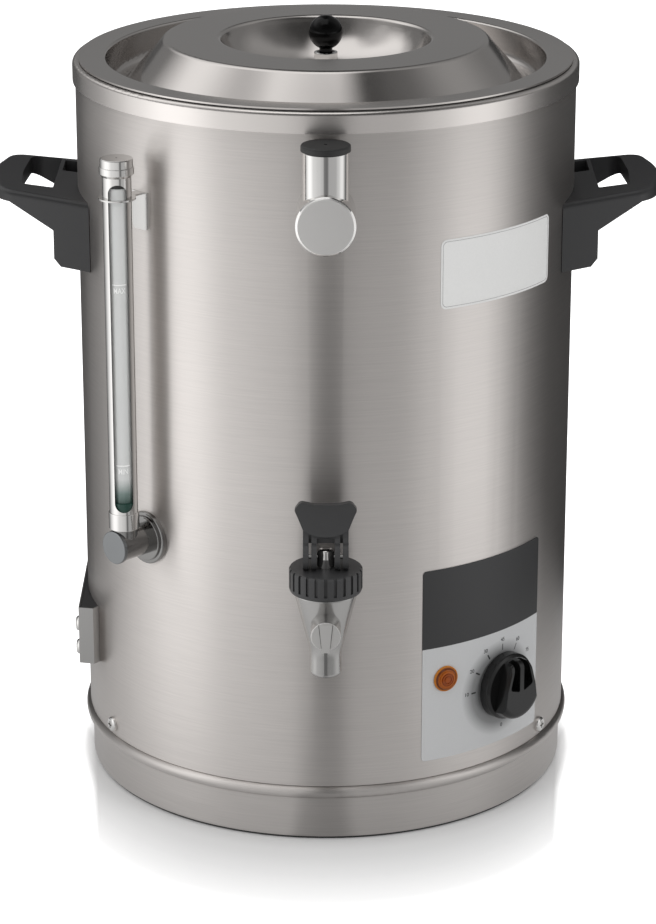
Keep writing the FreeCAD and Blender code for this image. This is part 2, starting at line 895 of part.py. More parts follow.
def make_base_fasteners():
    group("base_screws", [
        pan_screw(f"base_screw_{index + 1}", wall_place(azimuth, s.base_screw_height, s.body_radius), 8.0)
        for index, azimuth in enumerate(base_screw_azimuths)])
    turned("base_tie_rod", [
        (0, s.rod_foot), (s.rod_radius, s.rod_foot), (s.rod_radius, s.tank_floor - s.tank_sheet),
        (0, s.tank_floor - s.tank_sheet)])
    nut_foot = s.plate_level - s.plate_sheet - s.base_nut_height
    hex_nut("base_nut", Placement(Vector(0, 0, nut_foot.value), Rotation()), s.base_nut_width,
            s.base_nut_height, s.rod_radius)


def make_water_tank():
    solid = pressed("tank_sheet_metal", [
        (s.tank_rim_radius, s.tank_rim_top), (s.tank_inner_radius, s.tank_rim_top, 2.5),
        (s.tank_inner_radius, s.tank_floor, s.tank_bend), (0, s.tank_floor)], s.tank_sheet)
    start = 138.0
    fittings = (
        (filler_place, s.filler_shank_radius),
        (gauge_place * Placement(Vector(0, 0, s.gauge_height.value), Rotation()), s.gauge_shank_radius),
        (wall_place(0, s.tap_barrel_height), s.tap_shank_radius))
    tools = [rod("tank_wall_hole", radius, 12.0, outward_from(place * Placement(Vector(0, start, 0), Rotation())))
             for place, radius in fittings]
    for x, y in element_legs():
        spot = Placement(Vector(x, y, s.tank_floor.value - 5), Rotation())
        tools.append(rod("tank_floor_hole", s.element_tube, 10.0, spot))
    drill("water_tank", solid, tools)


def make_rim_seal():
    turned("rim_seal", [
        (s.seal_inner_radius, s.tank_rim_top), (s.seal_outer_radius, s.tank_rim_top),
        (s.seal_outer_radius, s.seal_top), (s.seal_inner_radius, s.seal_top)])


def make_milk_pot():
    solid = pressed("pot_sheet_metal", [
        (s.pot_rim_radius, s.pot_rim_top), (s.pot_inner_radius, s.pot_rim_top, 2.0),
        (s.pot_inner_radius, s.pot_floor, s.pot_bend), (0, s.pot_floor)], s.pot_sheet)
    spot = Placement(Vector(0, -s.drain_reach.value, s.pot_floor.value - 5), Rotation())
    drill("milk_pot", solid, [rod("pot_drain_hole", s.drain_radius, 10.0, spot)])


def make_drain_pipe():
    """A bent pipe from the pot's floor to the bore of the tap's shank."""
    body = new_body("drain_pipe", wall_place(0))
    for kind, radius in (("AdditivePipe", s.drain_radius), ("SubtractivePipe", s.drain_radius - s.drain_wall)):
        spine = new_sketch(body, "YZ_Plane")
        draw_outline(spine, [
            (s.drain_reach, s.pot_floor), (s.drain_reach, s.tap_barrel_height, s.drain_bend),
            (s.shank_end + 6, s.tap_barrel_height)], closed=False)
        ring = new_sketch(body, "XY_Plane", lift=s.pot_floor)
        draw_circle(ring, 0, s.drain_reach, radius)
        pipe = feature_of(body, kind, ring)
        pipe.Spine = spine
        doc.recompute()


# Lid

def make_lid():
    solid = pressed("lid_sheet_metal", [
        (s.lid_rim_radius, s.lid_top), (s.lid_wall_top_radius, s.lid_top, 1.8),
        (s.lid_wall_foot_radius, s.lid_trough, 5.5), (s.lid_trough_radius, s.lid_trough, 4.0),
        (s.lid_crown_radius, s.lid_crown, 4.5), (s.dish_edge_radius, s.lid_crown, 3.0),
        (s.dish_foot_radius, s.dish_floor, s.dish_bend), (0, s.dish_floor)], s.lid_sheet)
    spot = Placement(Vector(0, 0, s.dish_floor.value - 5), Rotation())
    drill("lid", solid, [rod("lid_hole", s.lid_screw_radius, 10.0, spot)])


def make_lid_seal():
    turned("lid_seal", [
        (s.lid_seal_inner_radius, s.collar_top), (s.lid_seal_outer_radius, s.collar_top),
        (s.lid_seal_outer_radius, s.lid_top - s.lid_sheet),
        (s.lid_seal_inner_radius, s.lid_top - s.lid_sheet)])


def make_lid_knob():
    recess = s.stem_top - s.stem_recess
    stem = turned("lid_stem", [
        (0, s.dish_floor), (s.stem_radius, s.dish_floor), (s.stem_radius, s.stem_top, 0.6),
        (s.stem_recess_radius, s.stem_top), (s.stem_recess_radius, recess), (0, recess)])
    hole = new_sketch(stem, "XY_Plane")
    draw_circle(hole, 0, 0, s.lid_screw_radius)
    pocket(stem, hole, reverse=True)
    ball = doc.addObject("Part::Sphere", "lid_knob_ball")
    bind(ball, "Radius", s.ball_radius)
    bind(ball, "Placement.Base.z", s.ball_height)
    neck = doc.addObject("Part::Cylinder", "lid_knob_neck")
    bind(neck, "Radius", s.ball_neck_radius)
    bind(neck, "Height", s.ball_height - recess)
    bind(neck, "Placement.Base.z", recess)
    knob = doc.addObject("Part::MultiFuse", "lid_knob_solid")
    knob.Shapes = [ball, neck]
    spot = Placement(Vector(0, 0, recess.value), Rotation())
    drill("lid_knob", knob, [rod("lid_knob_thread", s.lid_screw_radius, 10.0, spot)])
    under = s.dish_floor - s.lid_sheet
    turned("lid_screw", [
        (0, under - s.lid_screw_head), (s.lid_screw_head_radius, under - s.lid_screw_head, 1.4),
        (s.lid_screw_head_radius, under), (s.lid_screw_radius, under),
        (s.lid_screw_radius, recess + 10), (0, recess + 10)])


# Water filler

def make_filler():
    face = s.filler_face
    body = turned_outward("filler_elbow", [
        (145, 0), (145, s.filler_radius), (face - s.filler_bevel, s.filler_radius),
        (face, s.filler_radius - s.filler_bevel), (face, 0)], filler_place)
    tube = new_sketch(body, "XY_Plane")
    draw_circle(tube, 0, s.filler_reach, s.filler_tube_radius)
    pad(body, tube, s.filler_tube_top - s.filler_height)
    seat_on_cylinder(body, s.body_radius)
    add_turned_outward(body, [
        (s.shank_end, 0), (s.shank_end, s.filler_shank_radius), (156, s.filler_shank_radius), (156, 0)])
    bore_outward(body, [
        (s.shank_end - 1, 0), (s.shank_end - 1, s.filler_shank_bore), (s.filler_reach, s.filler_shank_bore),
        (s.filler_reach, 0)])
    neck = new_sketch(body, "XY_Plane", lift=-s.filler_shank_bore)
    draw_circle(neck, 0, s.filler_reach, s.filler_bore)
    pocket(body, neck, reverse=True)
    round_edges(body, 0.8, lambda edge: edge.BoundBox.ZMin > 39.5 and edge.Length > 80)
    tank_seal_inner = s.tank_seal_face - s.tank_seal_thickness
    turned_outward("filler_seal", [
        (tank_seal_inner, s.filler_shank_radius), (s.tank_seal_face, s.filler_shank_radius),
        (s.tank_seal_face, s.filler_seal_radius), (tank_seal_inner, s.filler_seal_radius)], filler_place)
    tank_nut("filler_nut", filler_place, s.filler_nut_width, tank_seal_inner, s.filler_shank_radius)
    foot = s.filler_tube_top + s.cap_gap
    top = foot + s.cap_thickness
    turned("filler_cap", [
        (s.cap_vent_radius, top - 1.5), (s.cap_skirt_bore, foot - 0.6), (s.cap_skirt_bore, foot - s.cap_skirt),
        (s.cap_skirt_radius, foot - s.cap_skirt, 0.8), (s.cap_skirt_radius, foot), (s.cap_radius, foot),
        (s.cap_radius, top, 1.2), (s.cap_vent_radius, top)], wall_place(0, 0, s.filler_reach))


# Level gauge

def make_gauge_fittings():
    place = gauge_place * Placement(Vector(0, 0, s.gauge_height.value), Rotation())
    plug_back = s.gauge_plug_face - s.gauge_plug_thickness
    body = turned_outward("gauge_elbow", [
        (145, 0), (145, s.gauge_elbow_radius), (plug_back, s.gauge_elbow_radius), (plug_back, 0)], place)
    stub = new_sketch(body, "XY_Plane")
    draw_circle(stub, 0, s.gauge_reach, s.gauge_stub_radius)
    pad(body, stub, s.gauge_stub_top - s.gauge_height)
    seat_on_cylinder(body, s.body_radius)
    add_turned_outward(body, [
        (s.shank_end, 0), (s.shank_end, s.gauge_shank_radius), (156, s.gauge_shank_radius), (156, 0)])
    bore_outward(body, [
        (s.shank_end - 1, 0), (s.shank_end - 1, s.gauge_shank_bore), (s.gauge_reach, s.gauge_shank_bore),
        (s.gauge_reach, s.gauge_plug_thread), (plug_back + 1, s.gauge_plug_thread), (plug_back + 1, 0)])
    socket = new_sketch(body, "XY_Plane")
    draw_circle(socket, 0, s.gauge_reach, s.gauge_shank_bore)
    pocket(body, socket, reverse=True)
    spot_face = new_sketch(body, "XZ_Plane", lift=-plug_back)
    draw_circle(spot_face, 0, 0, s.gauge_plug_radius + 0.3)
    pocket(body, spot_face)
    glass_hole = new_sketch(body, "XY_Plane", lift=s.glass_foot - s.gauge_height)
    draw_circle(glass_hole, 0, s.gauge_reach, s.glass_radius)
    pocket(body, glass_hole, reverse=True)
    turned_outward("gauge_plug", [
        (s.gauge_reach + 1, 0), (s.gauge_reach + 1, s.gauge_plug_thread), (plug_back, s.gauge_plug_thread),
        (plug_back, s.gauge_plug_radius), (s.gauge_plug_face, s.gauge_plug_radius, 0.6),
        (s.gauge_plug_face, 0)], place)
    face = s.gauge_rosette_face
    rosette = turned_outward("gauge_rosette", [
        (149, s.gauge_elbow_radius), (149, s.gauge_rosette_radius), (face - 1.4, s.gauge_rosette_radius, 1.0),
        (face - 1.4, s.gauge_rosette_step), (face, s.gauge_rosette_step, 0.6),
        (face, s.gauge_elbow_radius)], place)
    seat_on_cylinder(rosette, s.body_radius)


def make_gauge_column():
    """The glass and everything round it, all turned about the gauge's upright axis."""
    facing = Rotation(UP, s.guard_slot_azimuth.value + 180)
    guard_place = Placement(gauge_axis_place.Base, facing)
    guard = turned("gauge_guard_tube", [
        (s.guard_bore, s.lower_collar_top), (s.guard_radius, s.lower_collar_top),
        (s.guard_radius, s.guard_top), (s.guard_bore, s.guard_top)], guard_place)
    slot = new_sketch(guard, "XZ_Plane")
    half = s.guard_slot_width / 2
    bend = half - 0.05
    draw_outline(slot, [
        (-half, s.guard_slot_foot, bend), (half, s.guard_slot_foot, bend), (half, s.guard_slot_top, bend),
        (-half, s.guard_slot_top, bend)])
    pocket(guard, slot, s.guard_radius + 1)
    place = gauge_axis_place
    turned("gauge_glass", [
        (s.glass_radius - s.glass_wall, s.glass_foot), (s.glass_radius, s.glass_foot),
        (s.glass_radius, s.glass_top), (s.glass_radius - s.glass_wall, s.glass_top)], place)
    turned("gauge_bottom_seal", [
        (s.glass_radius, s.gauge_stub_top), (s.guard_bore, s.gauge_stub_top),
        (s.guard_bore, s.bottom_seal_top), (s.glass_radius, s.bottom_seal_top)], place)
    turned("gauge_top_seal", [
        (s.glass_radius, s.top_seal_foot), (s.guard_bore, s.top_seal_foot),
        (s.guard_bore, s.glass_top), (s.glass_radius, s.glass_top)], place)
    turned("gauge_lower_collar", [
        (s.gauge_stub_radius, s.lower_collar_foot), (s.lower_collar_radius, s.lower_collar_foot, 0.5),
        (s.lower_collar_radius, s.lower_collar_top, 0.5), (s.guard_bore, s.lower_collar_top),
        (s.guard_bore, s.gauge_stub_top), (s.gauge_stub_radius, s.gauge_stub_top)], place)
    cap = turned("gauge_cap", [
        (0, s.glass_top), (s.guard_bore, s.glass_top), (s.guard_bore, s.guard_top),
        (s.guard_radius + 0.3, s.guard_top), (s.gauge_cap_band_radius, s.gauge_cap_band_foot, 0.4),
        (s.gauge_cap_band_radius, s.gauge_cap_band_top, 0.4), (s.gauge_cap_radius, s.gauge_cap_band_top),
        (s.gauge_cap_radius, s.gauge_cap_top, 0.8), (0, s.gauge_cap_top)], place)
    vent = new_sketch(cap, "XY_Plane")
    draw_circle(vent, 0, 0, s.gauge_cap_vent_radius)
    pocket(cap, vent, reverse=True)


def make_gauge_bracket():
    """A strip of sheet with a ring round the guard tube and a tab bent down on the shell."""
    body = new_body("gauge_bracket", gauge_place)
    level = s.bracket_level - s.bracket_sheet
    ring = new_sketch(body, "XY_Plane", lift=level)
    draw_circle(ring, 0, s.gauge_reach, s.bracket_ring_radius)
    pad(body, ring, s.bracket_sheet)
    half = s.bracket_neck_width / 2
    neck = new_sketch(body, "XY_Plane", lift=level)
    draw_outline(neck, box_corners(-half, half, 150.0, s.gauge_reach))
    pad(body, neck, s.bracket_sheet)
    seat_on_cylinder(body, s.body_radius, drop=600)
    tab = new_sketch(body, "YZ_Plane")
    draw_outline(tab, box_corners(
        s.body_radius, s.body_radius + s.bracket_sheet, s.bracket_tab_foot, s.bracket_level))
    revolve(body, tab, angle=s.bracket_tab_width / s.body_radius * (180 / math.pi), symmetric=True)
    round_edges(body, s.bracket_tab_round, lambda edge: (
        abs(edge.Length - s.bracket_sheet.value) < 0.1 and edge.BoundBox.ZMax < s.bracket_tab_foot.value + 0.1))
    hole = new_sketch(body, "XY_Plane", lift=level)
    draw_circle(hole, 0, s.gauge_reach, s.guard_radius)
    pocket(body, hole, reverse=True)


# Tap

def make_tap_body():
    body = turned("tap_body", [
        (0, s.tap_spout_foot), (s.tap_spout_radius, s.tap_spout_foot, 2.6),
        (s.tap_waist_radius, s.tap_waist_height, 30.0), (s.tap_mouth_radius, s.tap_mouth_height, 1.0),
        (s.tap_thread_radius, s.tap_mouth_height), (s.tap_thread_radius, s.tap_thread_top),
        (0, s.tap_thread_top)], tap_place)
    height = s.tap_barrel_height
    flange_back = s.tap_washer_face - s.tap_reach
    flange_face = flange_back + s.tap_flange_thickness
    for start, end, radius in (
            (flange_face, s.tap_barrel_face, s.tap_barrel_radius),
            (flange_back, flange_face, s.tap_flange_radius),
            (s.shank_end - s.tap_reach, flange_back, s.tap_shank_radius)):
        disc = new_sketch(body, "XZ_Plane", lift=-end)
        draw_circle(disc, 0, height, radius)
        pad(body, disc, end - start)
    round_edges(body, 0.7, lambda edge: edge.BoundBox.YMin > s.tap_barrel_face.value - 0.01)
    tongue = new_sketch(body, "XZ_Plane", lift=-(s.tap_barrel_face + s.tongue_proud))
    top_half = s.tongue_top_width / 2
    foot_half = s.tongue_foot_width / 2
    draw_outline(tongue, [
        (-foot_half, s.tongue_foot), (foot_half, s.tongue_foot), (top_half, s.tongue_top),
        (-top_half, s.tongue_top)])
    pad(body, tongue, s.tap_barrel_face + s.tongue_proud)
    rib = new_sketch(body, "XZ_Plane", lift=-(s.tap_spout_radius + s.tap_rib_proud))
    rib_half = s.tap_rib_width / 2
    draw_outline(rib, box_corners(-rib_half, rib_half, s.tap_spout_foot + 2.6, s.tongue_foot + 2))
    pad(body, rib, s.tap_spout_radius)
    outlet = new_sketch(body, "XZ_Plane")
    draw_outline(outlet, [
        (0, s.tap_spout_foot - 1), (s.tap_outlet_bore, s.tap_spout_foot - 1),
        (s.tap_outlet_bore, s.tap_seat_level), (s.tap_chamber_bore, s.tap_seat_level),
        (s.tap_chamber_bore, s.tap_thread_top + 1), (0, s.tap_thread_top + 1)])
    groove(body, outlet)
    inlet = new_sketch(body, "XZ_Plane")
    draw_circle(inlet, 0, height, s.tap_outlet_bore)
    pocket(body, inlet, reverse=True)


def make_tap_mounting():
    place = wall_place(0, s.tap_barrel_height)
    washer = turned_outward("tap_washer", [
        (149, s.tap_shank_radius), (s.tap_washer_face, s.tap_shank_radius),
        (s.tap_washer_face, s.tap_washer_radius), (149, s.tap_washer_radius)], place)
    seat_on_cylinder(washer, s.body_radius)


def make_tap_bonnet():
    roof = s.bonnet_top - s.bonnet_roof
    body = turned("tap_bonnet", [
        (s.bonnet_hole, roof), (s.bonnet_bore, roof), (s.bonnet_bore, s.bonnet_foot),
        (s.bonnet_radius - 0.6, s.bonnet_foot), (s.bonnet_radius, s.bonnet_foot + 1.6),
        (s.bonnet_radius, s.bonnet_top, s.bonnet_round), (s.bonnet_hole, s.bonnet_top)], tap_place)
    flute = new_sketch(body, "XY_Plane", lift=s.flute_foot)
    half = s.flute_width / 2
    draw_outline(flute, box_corners(-half, half, s.bonnet_radius - s.flute_depth, s.bonnet_radius + 2))
    polar(body, [pocket(body, flute, reverse=True)], s.flute_count)


def make_tap_plunger():
    foot = s.tap_seat_level + s.seat_gap + 2.5
    body = turned("tap_plunger", [
        (0, foot), (s.plunger_stem_radius, foot), (s.plunger_stem_radius, s.plunger_shoulder),
        (s.plunger_radius, s.plunger_shoulder, 0.5), (s.plunger_radius, s.plunger_top, 3.5),
        (0, s.plunger_top)], tap_place)
    cross_hole = new_sketch(body, "YZ_Plane")
    draw_circle(cross_hole, 0, s.pin_height, s.pin_radius)
    pocket(body, cross_hole, symmetric=True)
    seat_foot = s.tap_seat_level + s.seat_gap
    turned("tap_seat", [
        (0, seat_foot), (s.seat_radius, seat_foot, 0.8), (s.seat_radius, s.seat_cup_top),
        (s.seat_radius - 1.2, s.seat_cup_top), (s.seat_radius - 1.2, foot + 1), (s.seat_hub_radius, foot + 1),
        (s.seat_hub_radius, s.seat_top), (s.plunger_stem_radius, s.seat_top), (s.plunger_stem_radius, foot),
        (0, foot)], tap_place)


def make_tap_spring():
    body = new_body("tap_spring", tap_place)
    wire = new_sketch(body, "XZ_Plane")
    draw_circle(wire, s.spring_radius, s.spring_foot, s.spring_wire)
    coil = feature_of(body, "AdditiveHelix", wire)
    coil.ReferenceAxis = (wire, ["V_Axis"])
    coil.Mode = "height-turns-angle"
    bind(coil, "Height", s.spring_top - s.spring_foot)
    bind(coil, "Turns", s.spring_turns)


def make_tap_lever():
    """The lever stands on two eccentric feet: tipping it forward lifts the pin and the plunger."""
    place = tap_place * Placement(Vector(0, 0, s.pin_height.value), Rotation())
    body = new_body("tap_lever", place)
    front = new_sketch(body, "XZ_Plane", lift=-14)
    foot_half = s.paddle_foot_width / 2
    half = s.paddle_width / 2
    top = s.paddle_top
    dip = top - s.paddle_dip
    right = [(foot_half, s.paddle_foot), (half, top - 5.2, 3.0), (half - 3.4, top + 0.4, 2.8), (6.5, dip, 14.0)]
    left = [(-corner[0],) + corner[1:] for corner in reversed(right)]
    draw_outline(front, right + left + [(0, s.paddle_tip, s.paddle_tip_round)])
    pad(body, front, 22)
    hollow = (s.paddle_hollow_ahead, s.paddle_hollow_above)
    inside = new_sketch(body, "YZ_Plane")
    draw_circle(inside, hollow[0], hollow[1], s.paddle_hollow_radius)
    pocket(body, inside, symmetric=True)
    behind = new_sketch(body, "YZ_Plane")
    draw_outline(behind, box_corners(-25, 90, -40, 90))
    draw_circle(behind, hollow[0], hollow[1], s.paddle_hollow_radius + s.paddle_thickness)
    pocket(body, behind, symmetric=True)
    width = 2 * s.lever_wall_outer
    arms = new_sketch(body, "YZ_Plane")
    draw_outline(arms, [
        (-5.2, 0), (1, -4), (9, 0, 2.0), (6.5, s.lever_web_foot, 4.0), (3.2, s.lever_arm_top - 7),
        (2.6, s.lever_arm_top), (-1.6, s.lever_arm_top), (-3.6, s.lever_web_foot, 6.0)])
    pad(body, arms, width, symmetric=True)
    feet = new_sketch(body, "YZ_Plane")
    draw_circle(feet, s.foot_disc_ahead, s.foot_disc_above, s.foot_disc_radius)
    pad(body, feet, width, symmetric=True)
    rib = s.lever_rib_inner
    slots = [(-rib, rib, s.lever_window_top)]
    for side in (-1, 1):
        low, high = sorted((side * s.lever_rib_outer, side * s.lever_wall_inner), key=number)
        slots.append((low, high, s.lever_slot_top))
    for low, high, recess_top in slots:
        through = new_sketch(body, "XZ_Plane", lift=30)
        draw_outline(through, box_corners(low, high, -20, s.lever_web_foot))
        pocket(body, through)
        recess = new_sketch(body, "XZ_Plane", lift=-20)
        draw_outline(recess, box_corners(low, high, -20, recess_top))
        pocket(body, recess, 20 - s.lever_web_face, reverse=True)
    hole = new_sketch(body, "YZ_Plane")
    draw_circle(hole, 0, 0, s.pin_radius)
    pocket(body, hole, symmetric=True)
    pin_place = place * Placement(Vector(-s.pin_length.value / 2, 0, 0), Rotation(Vector(0, 1, 0), 90))
    turned("lever_pin", [
        (0, 0), (s.pin_radius, 0, 0.3), (s.pin_radius, s.pin_length, 0.3), (0, s.pin_length)], pin_place)


# Control panel, lamp and thermostat

def make_control_panel():
    body = new_body("control_panel", wall_place(s.panel_azimuth))
    section = new_sketch(body, "YZ_Plane")
    draw_outline(section, box_corners(
        s.body_radius, s.body_radius + s.panel_thickness, s.panel_foot, s.panel_top))
    revolve(body, section, angle=s.panel_span, symmetric=True)
    round_edges(body, s.panel_round, lambda edge: abs(edge.Length - s.panel_thickness.value) < 0.01)
    screw_hole = s.small_screw_head_radius + 0.3
    holes = (
        (s.lamp_azimuth, [(0, s.lamp_height, s.lamp_barrel_radius)]),
        (s.knob_azimuth, [
            (0, s.knob_height, 4.5), (s.thermostat_screw_offset, s.knob_height, screw_hole),
            (-s.thermostat_screw_offset, s.knob_height, screw_hole)]))
    for azimuth, circles in holes:
        offset = azimuth - s.panel_azimuth
        sketch = new_sketch(body, "XZ_Plane", turn=Rotation(Vector(0, 1, 0), offset.value))
        for x, height, radius in circles:
            draw_circle(sketch, x, height, radius)
        pocket(body, sketch)


def make_lamp():
    seat = s.body_radius + s.panel_thickness
    dome = seat + s.lamp_dome
    lens = turned_outward("lamp_lens", [
        (152, 0), (152, s.lamp_barrel_radius), (seat, s.lamp_barrel_radius), (seat, s.lamp_radius),
        (seat + s.lamp_rim, s.lamp_radius, 0.5), (seat + s.lamp_rim, s.lamp_radius - 1.2),
        (dome - 0.9, s.lamp_radius - 2.0, 1.5), (dome - 0.2, 3.2, 8.0), (dome, 0)], lamp_place)
    for radius in (2.0, 3.6, 5.2):
        ring = new_sketch(lens, "XZ_Plane", lift=-(dome + 1))
        draw_circle(ring, 0, 0, radius)
        draw_circle(ring, 0, 0, radius + s.lens_ring_width)
        pocket(lens, ring, 1.2 + s.lens_ring_depth + 0.12 * radius, reverse=True)
    turned_outward("lamp_body", [
        (s.lamp_body_end, 0), (s.lamp_body_end, 1.2), (138, 1.2), (138, s.lamp_body_radius),
        (152, s.lamp_body_radius), (152, 0)], lamp_place)


def make_thermostat():
    half = s.thermostat_width / 2
    body = new_body("thermostat_body", knob_place)
    case = new_sketch(body, "XZ_Plane", lift=-s.thermostat_face)
    draw_outline(case, [(-half, -half, 4.0), (half, -half, 4.0), (half, half, 4.0), (-half, half, 4.0)])
    pad(body, case, s.thermostat_face - s.thermostat_back)
    neck = new_sketch(body, "XZ_Plane", lift=-s.body_radius)
    draw_circle(neck, 0, 0, 4.3)
    pad(body, neck, s.body_radius - s.thermostat_face)
    for side in (-1, 1):
        blade = new_sketch(body, "XZ_Plane", lift=-s.thermostat_back)
        draw_outline(blade, box_corners(side * 9 - 3.0, side * 9 + 3.0, -9.4, -8.6))
        pad(body, blade, 8)
    bore = new_sketch(body, "XZ_Plane", lift=-s.shaft_end)
    draw_circle(bore, 0, 0, s.shaft_radius + s.shaft_clearance)
    pocket(body, bore)
    threads = new_sketch(body, "XZ_Plane", lift=-(s.thermostat_face - 8))
    screws = []
    for side in (-1, 1):
        draw_circle(threads, side * s.thermostat_screw_offset, 0, s.small_screw_radius)
        spot = knob_place * Placement(
            Vector(side * s.thermostat_screw_offset.value, s.body_radius.value - 0.4, 0), Rotation())
        screws.append(turned_outward(f"thermostat_screw_{side + 2}", [
            (-10, 0), (-10, s.small_screw_radius), (0, s.small_screw_radius), (0, s.small_screw_head_radius),
            (1.4, s.small_screw_head_radius - 0.6), (1.4, 0)], spot))
    pocket(body, threads)
    group("thermostat_screws", screws)
    level = s.bulb_level - s.knob_height
    sensor = new_body("thermostat_bulb", knob_place)
    spine = new_sketch(sensor, "YZ_Plane")
    draw_outline(spine, [(135, half), (135, level, 8.0), (104, level)], closed=False)
    ring = new_sketch(sensor, "XY_Plane", lift=half)
    draw_circle(ring, 0, 135, s.capillary_radius)
    pipe = feature_of(sensor, "AdditivePipe", ring)
    pipe.Spine = spine
    bulb = new_sketch(sensor, "XZ_Plane", lift=-105)
    draw_circle(bulb, 0, level, s.bulb_radius)
    pad(sensor, bulb, 70)


def make_thermostat_knob():
    face = s.knob_face
    skirt = s.knob_skirt_radius
    body = turned_outward("thermostat_knob", [
        (s.knob_foot, s.shaft_radius), (s.knob_foot, skirt), (s.knob_skirt_face, skirt, 1.2),
        (s.knob_skirt_face + 1.5, skirt - 1.6), (face, s.knob_face_radius, 4.2), (face, 0),
        (s.shaft_tip, 0), (s.shaft_tip, s.shaft_radius)], knob_place)
    grip = s.knob_grip_half_width
    tip = s.knob_tip_half_width
    above = skirt + 1
    pointer = s.knob_pointer_width / 2
    for side in (-1, 1):
        scoop = new_sketch(body, "XZ_Plane", lift=-(face + 1))
        corners = [(side * tip, above), (side * grip, 2.0, 16.0), (side * (grip + 2.6), -14.0),
                   (side * (skirt + 3), -14.0), (side * (skirt + 3), above)]
        draw_outline(scoop, corners if side < 0 else corners[::-1])
        pocket(body, scoop, face + 1 - s.knob_scoop_floor, reverse=True)
        hollow = new_sketch(body, "XZ_Plane", lift=-(face + 1))
        corners = [(side * pointer, -0.5, 1.0), (side * (grip - s.knob_wall - 0.4), 2.5, 2.0),
                   (side * (tip - s.knob_wall), above), (side * pointer, above)]
        draw_outline(hollow, corners if side < 0 else corners[::-1])
        pocket(body, hollow, face + 1 - s.knob_pocket_floor, reverse=True)
    turned_outward("thermostat_shaft", [
        (s.shaft_end, 0), (s.shaft_end, s.shaft_radius), (s.shaft_tip, s.shaft_radius, 0.4),
        (s.shaft_tip, 0)], knob_place)


# Handles

def handle_top(y):
    """The height of the handle's sloping top at this distance out."""
    return s.handle_top_at_shell + (y - s.body_radius) * s.handle_slope


def make_right_handle():
    """A moulded bail handle on a hollow leg; its local +x is the dispenser's front."""
    body = new_body("right_handle", right_place)
    plan = new_sketch(body, "XY_Plane", lift=s.handle_foot_at_root)
    root = s.handle_root
    corner_half = s.handle_corner_half_width
    corner = s.handle_corner
    bulge = s.handle_reach + 1.2
    draw_outline(plan, [
        (-s.handle_root_half_width, root), (s.handle_root_half_width, root),
        (corner_half, corner, s.handle_corner_round), (0, bulge, 120.0),
        (-corner_half, corner, s.handle_corner_round)])
    pad(body, plan, 60)
    above = new_sketch(body, "YZ_Plane")
    draw_outline(above, [
        (root - 5, handle_top(root - 5)), (bulge + 5, handle_top(bulge + 5)), (bulge + 5, 400), (root - 5, 400)])
    pocket(body, above, symmetric=True)
    slope = s.handle_slope.value
    outer = bulge.value + 6
    below = new_sketch(body, "YZ_Plane")
    draw_outline(below, [
        (root - 5, s.handle_foot_at_root - 10), (root - 5, s.handle_foot_at_root - 0.6),
        (s.handle_leg_face - 4, s.handle_leg_foot), (s.handle_leg_face, s.handle_leg_foot + 5),
        (s.handle_leg_face, s.handle_leg_knee), (s.handle_rim_inner, s.handle_rim_foot),
        (outer, s.handle_rim_foot + (outer - s.handle_rim_inner) * slope),
        (outer, s.handle_foot_at_root - 10)])
    pocket(body, below, symmetric=True)

    def outer_top(edge):
        middle = edge.valueAt((edge.FirstParameter + edge.LastParameter) / 2)
        on_top = abs(middle.z - handle_top(middle.y).value) < 0.3
        return on_top and (middle.y > root.value + 1)

    round_edges(body, s.handle_edge_round, outer_top)
    opening = new_sketch(body, "XY_Plane", lift=s.handle_foot_at_root)
    draw_outline(opening, [
        (s.grip_front, s.grip_inner, 1.5), (s.grip_front, s.grip_outer - 1.5, 3.0), (-4, s.grip_outer, 60.0),
        (-s.grip_rear, s.grip_outer - 2.0, 9.0), (-(s.grip_rear + 3.5), s.grip_inner)])
    pocket(body, opening, reverse=True)
    recess = new_sketch(body, "XY_Plane", lift=s.recess_floor)
    draw_outline(recess, box_corners(-s.grip_rear, -s.recess_side, 150.0, s.recess_edge))
    pocket(body, recess, reverse=True)
    wall = s.handle_wall
    leg_back = s.handle_leg_face - wall
    leg = new_sketch(body, "XY_Plane", lift=s.recess_floor - wall)
    half = s.handle_root_half_width - wall - 3
    draw_outline(leg, box_corners(-half, half, root - 1, leg_back))
    pocket(body, leg)
    arm = new_sketch(body, "YZ_Plane", lift=s.grip_front + wall)
    draw_outline(arm, [
        (root - 1, s.recess_floor - 20), (leg_back, s.recess_floor - 20),
        (leg_back, s.handle_leg_knee + wall * 0.7), (s.arm_hollow_end, handle_top(s.arm_hollow_end) - wall - 1.6),
        (s.arm_hollow_end, handle_top(s.arm_hollow_end) - wall), (root - 1, handle_top(root - 1) - wall)])
    pocket(body, arm, corner_half - wall - 1 - (s.grip_front + wall), reverse=True)
    for side in (-1, 1):
        boss = new_sketch(body, "XZ_Plane", lift=-(leg_back + 0.5))
        draw_circle(boss, side * s.handle_screw_offset, s.handle_screw_height, s.handle_boss_radius)
        pad(body, boss, 18)
    seat_on_cylinder(body, s.body_radius, drop=600)
    for side in (-1, 1):
        hole = new_sketch(body, "XZ_Plane", lift=-(leg_back - 1))
        draw_circle(hole, side * s.handle_screw_offset, s.handle_screw_height, s.handle_screw_radius)
        pocket(body, hole, 20, reverse=True)
    return body


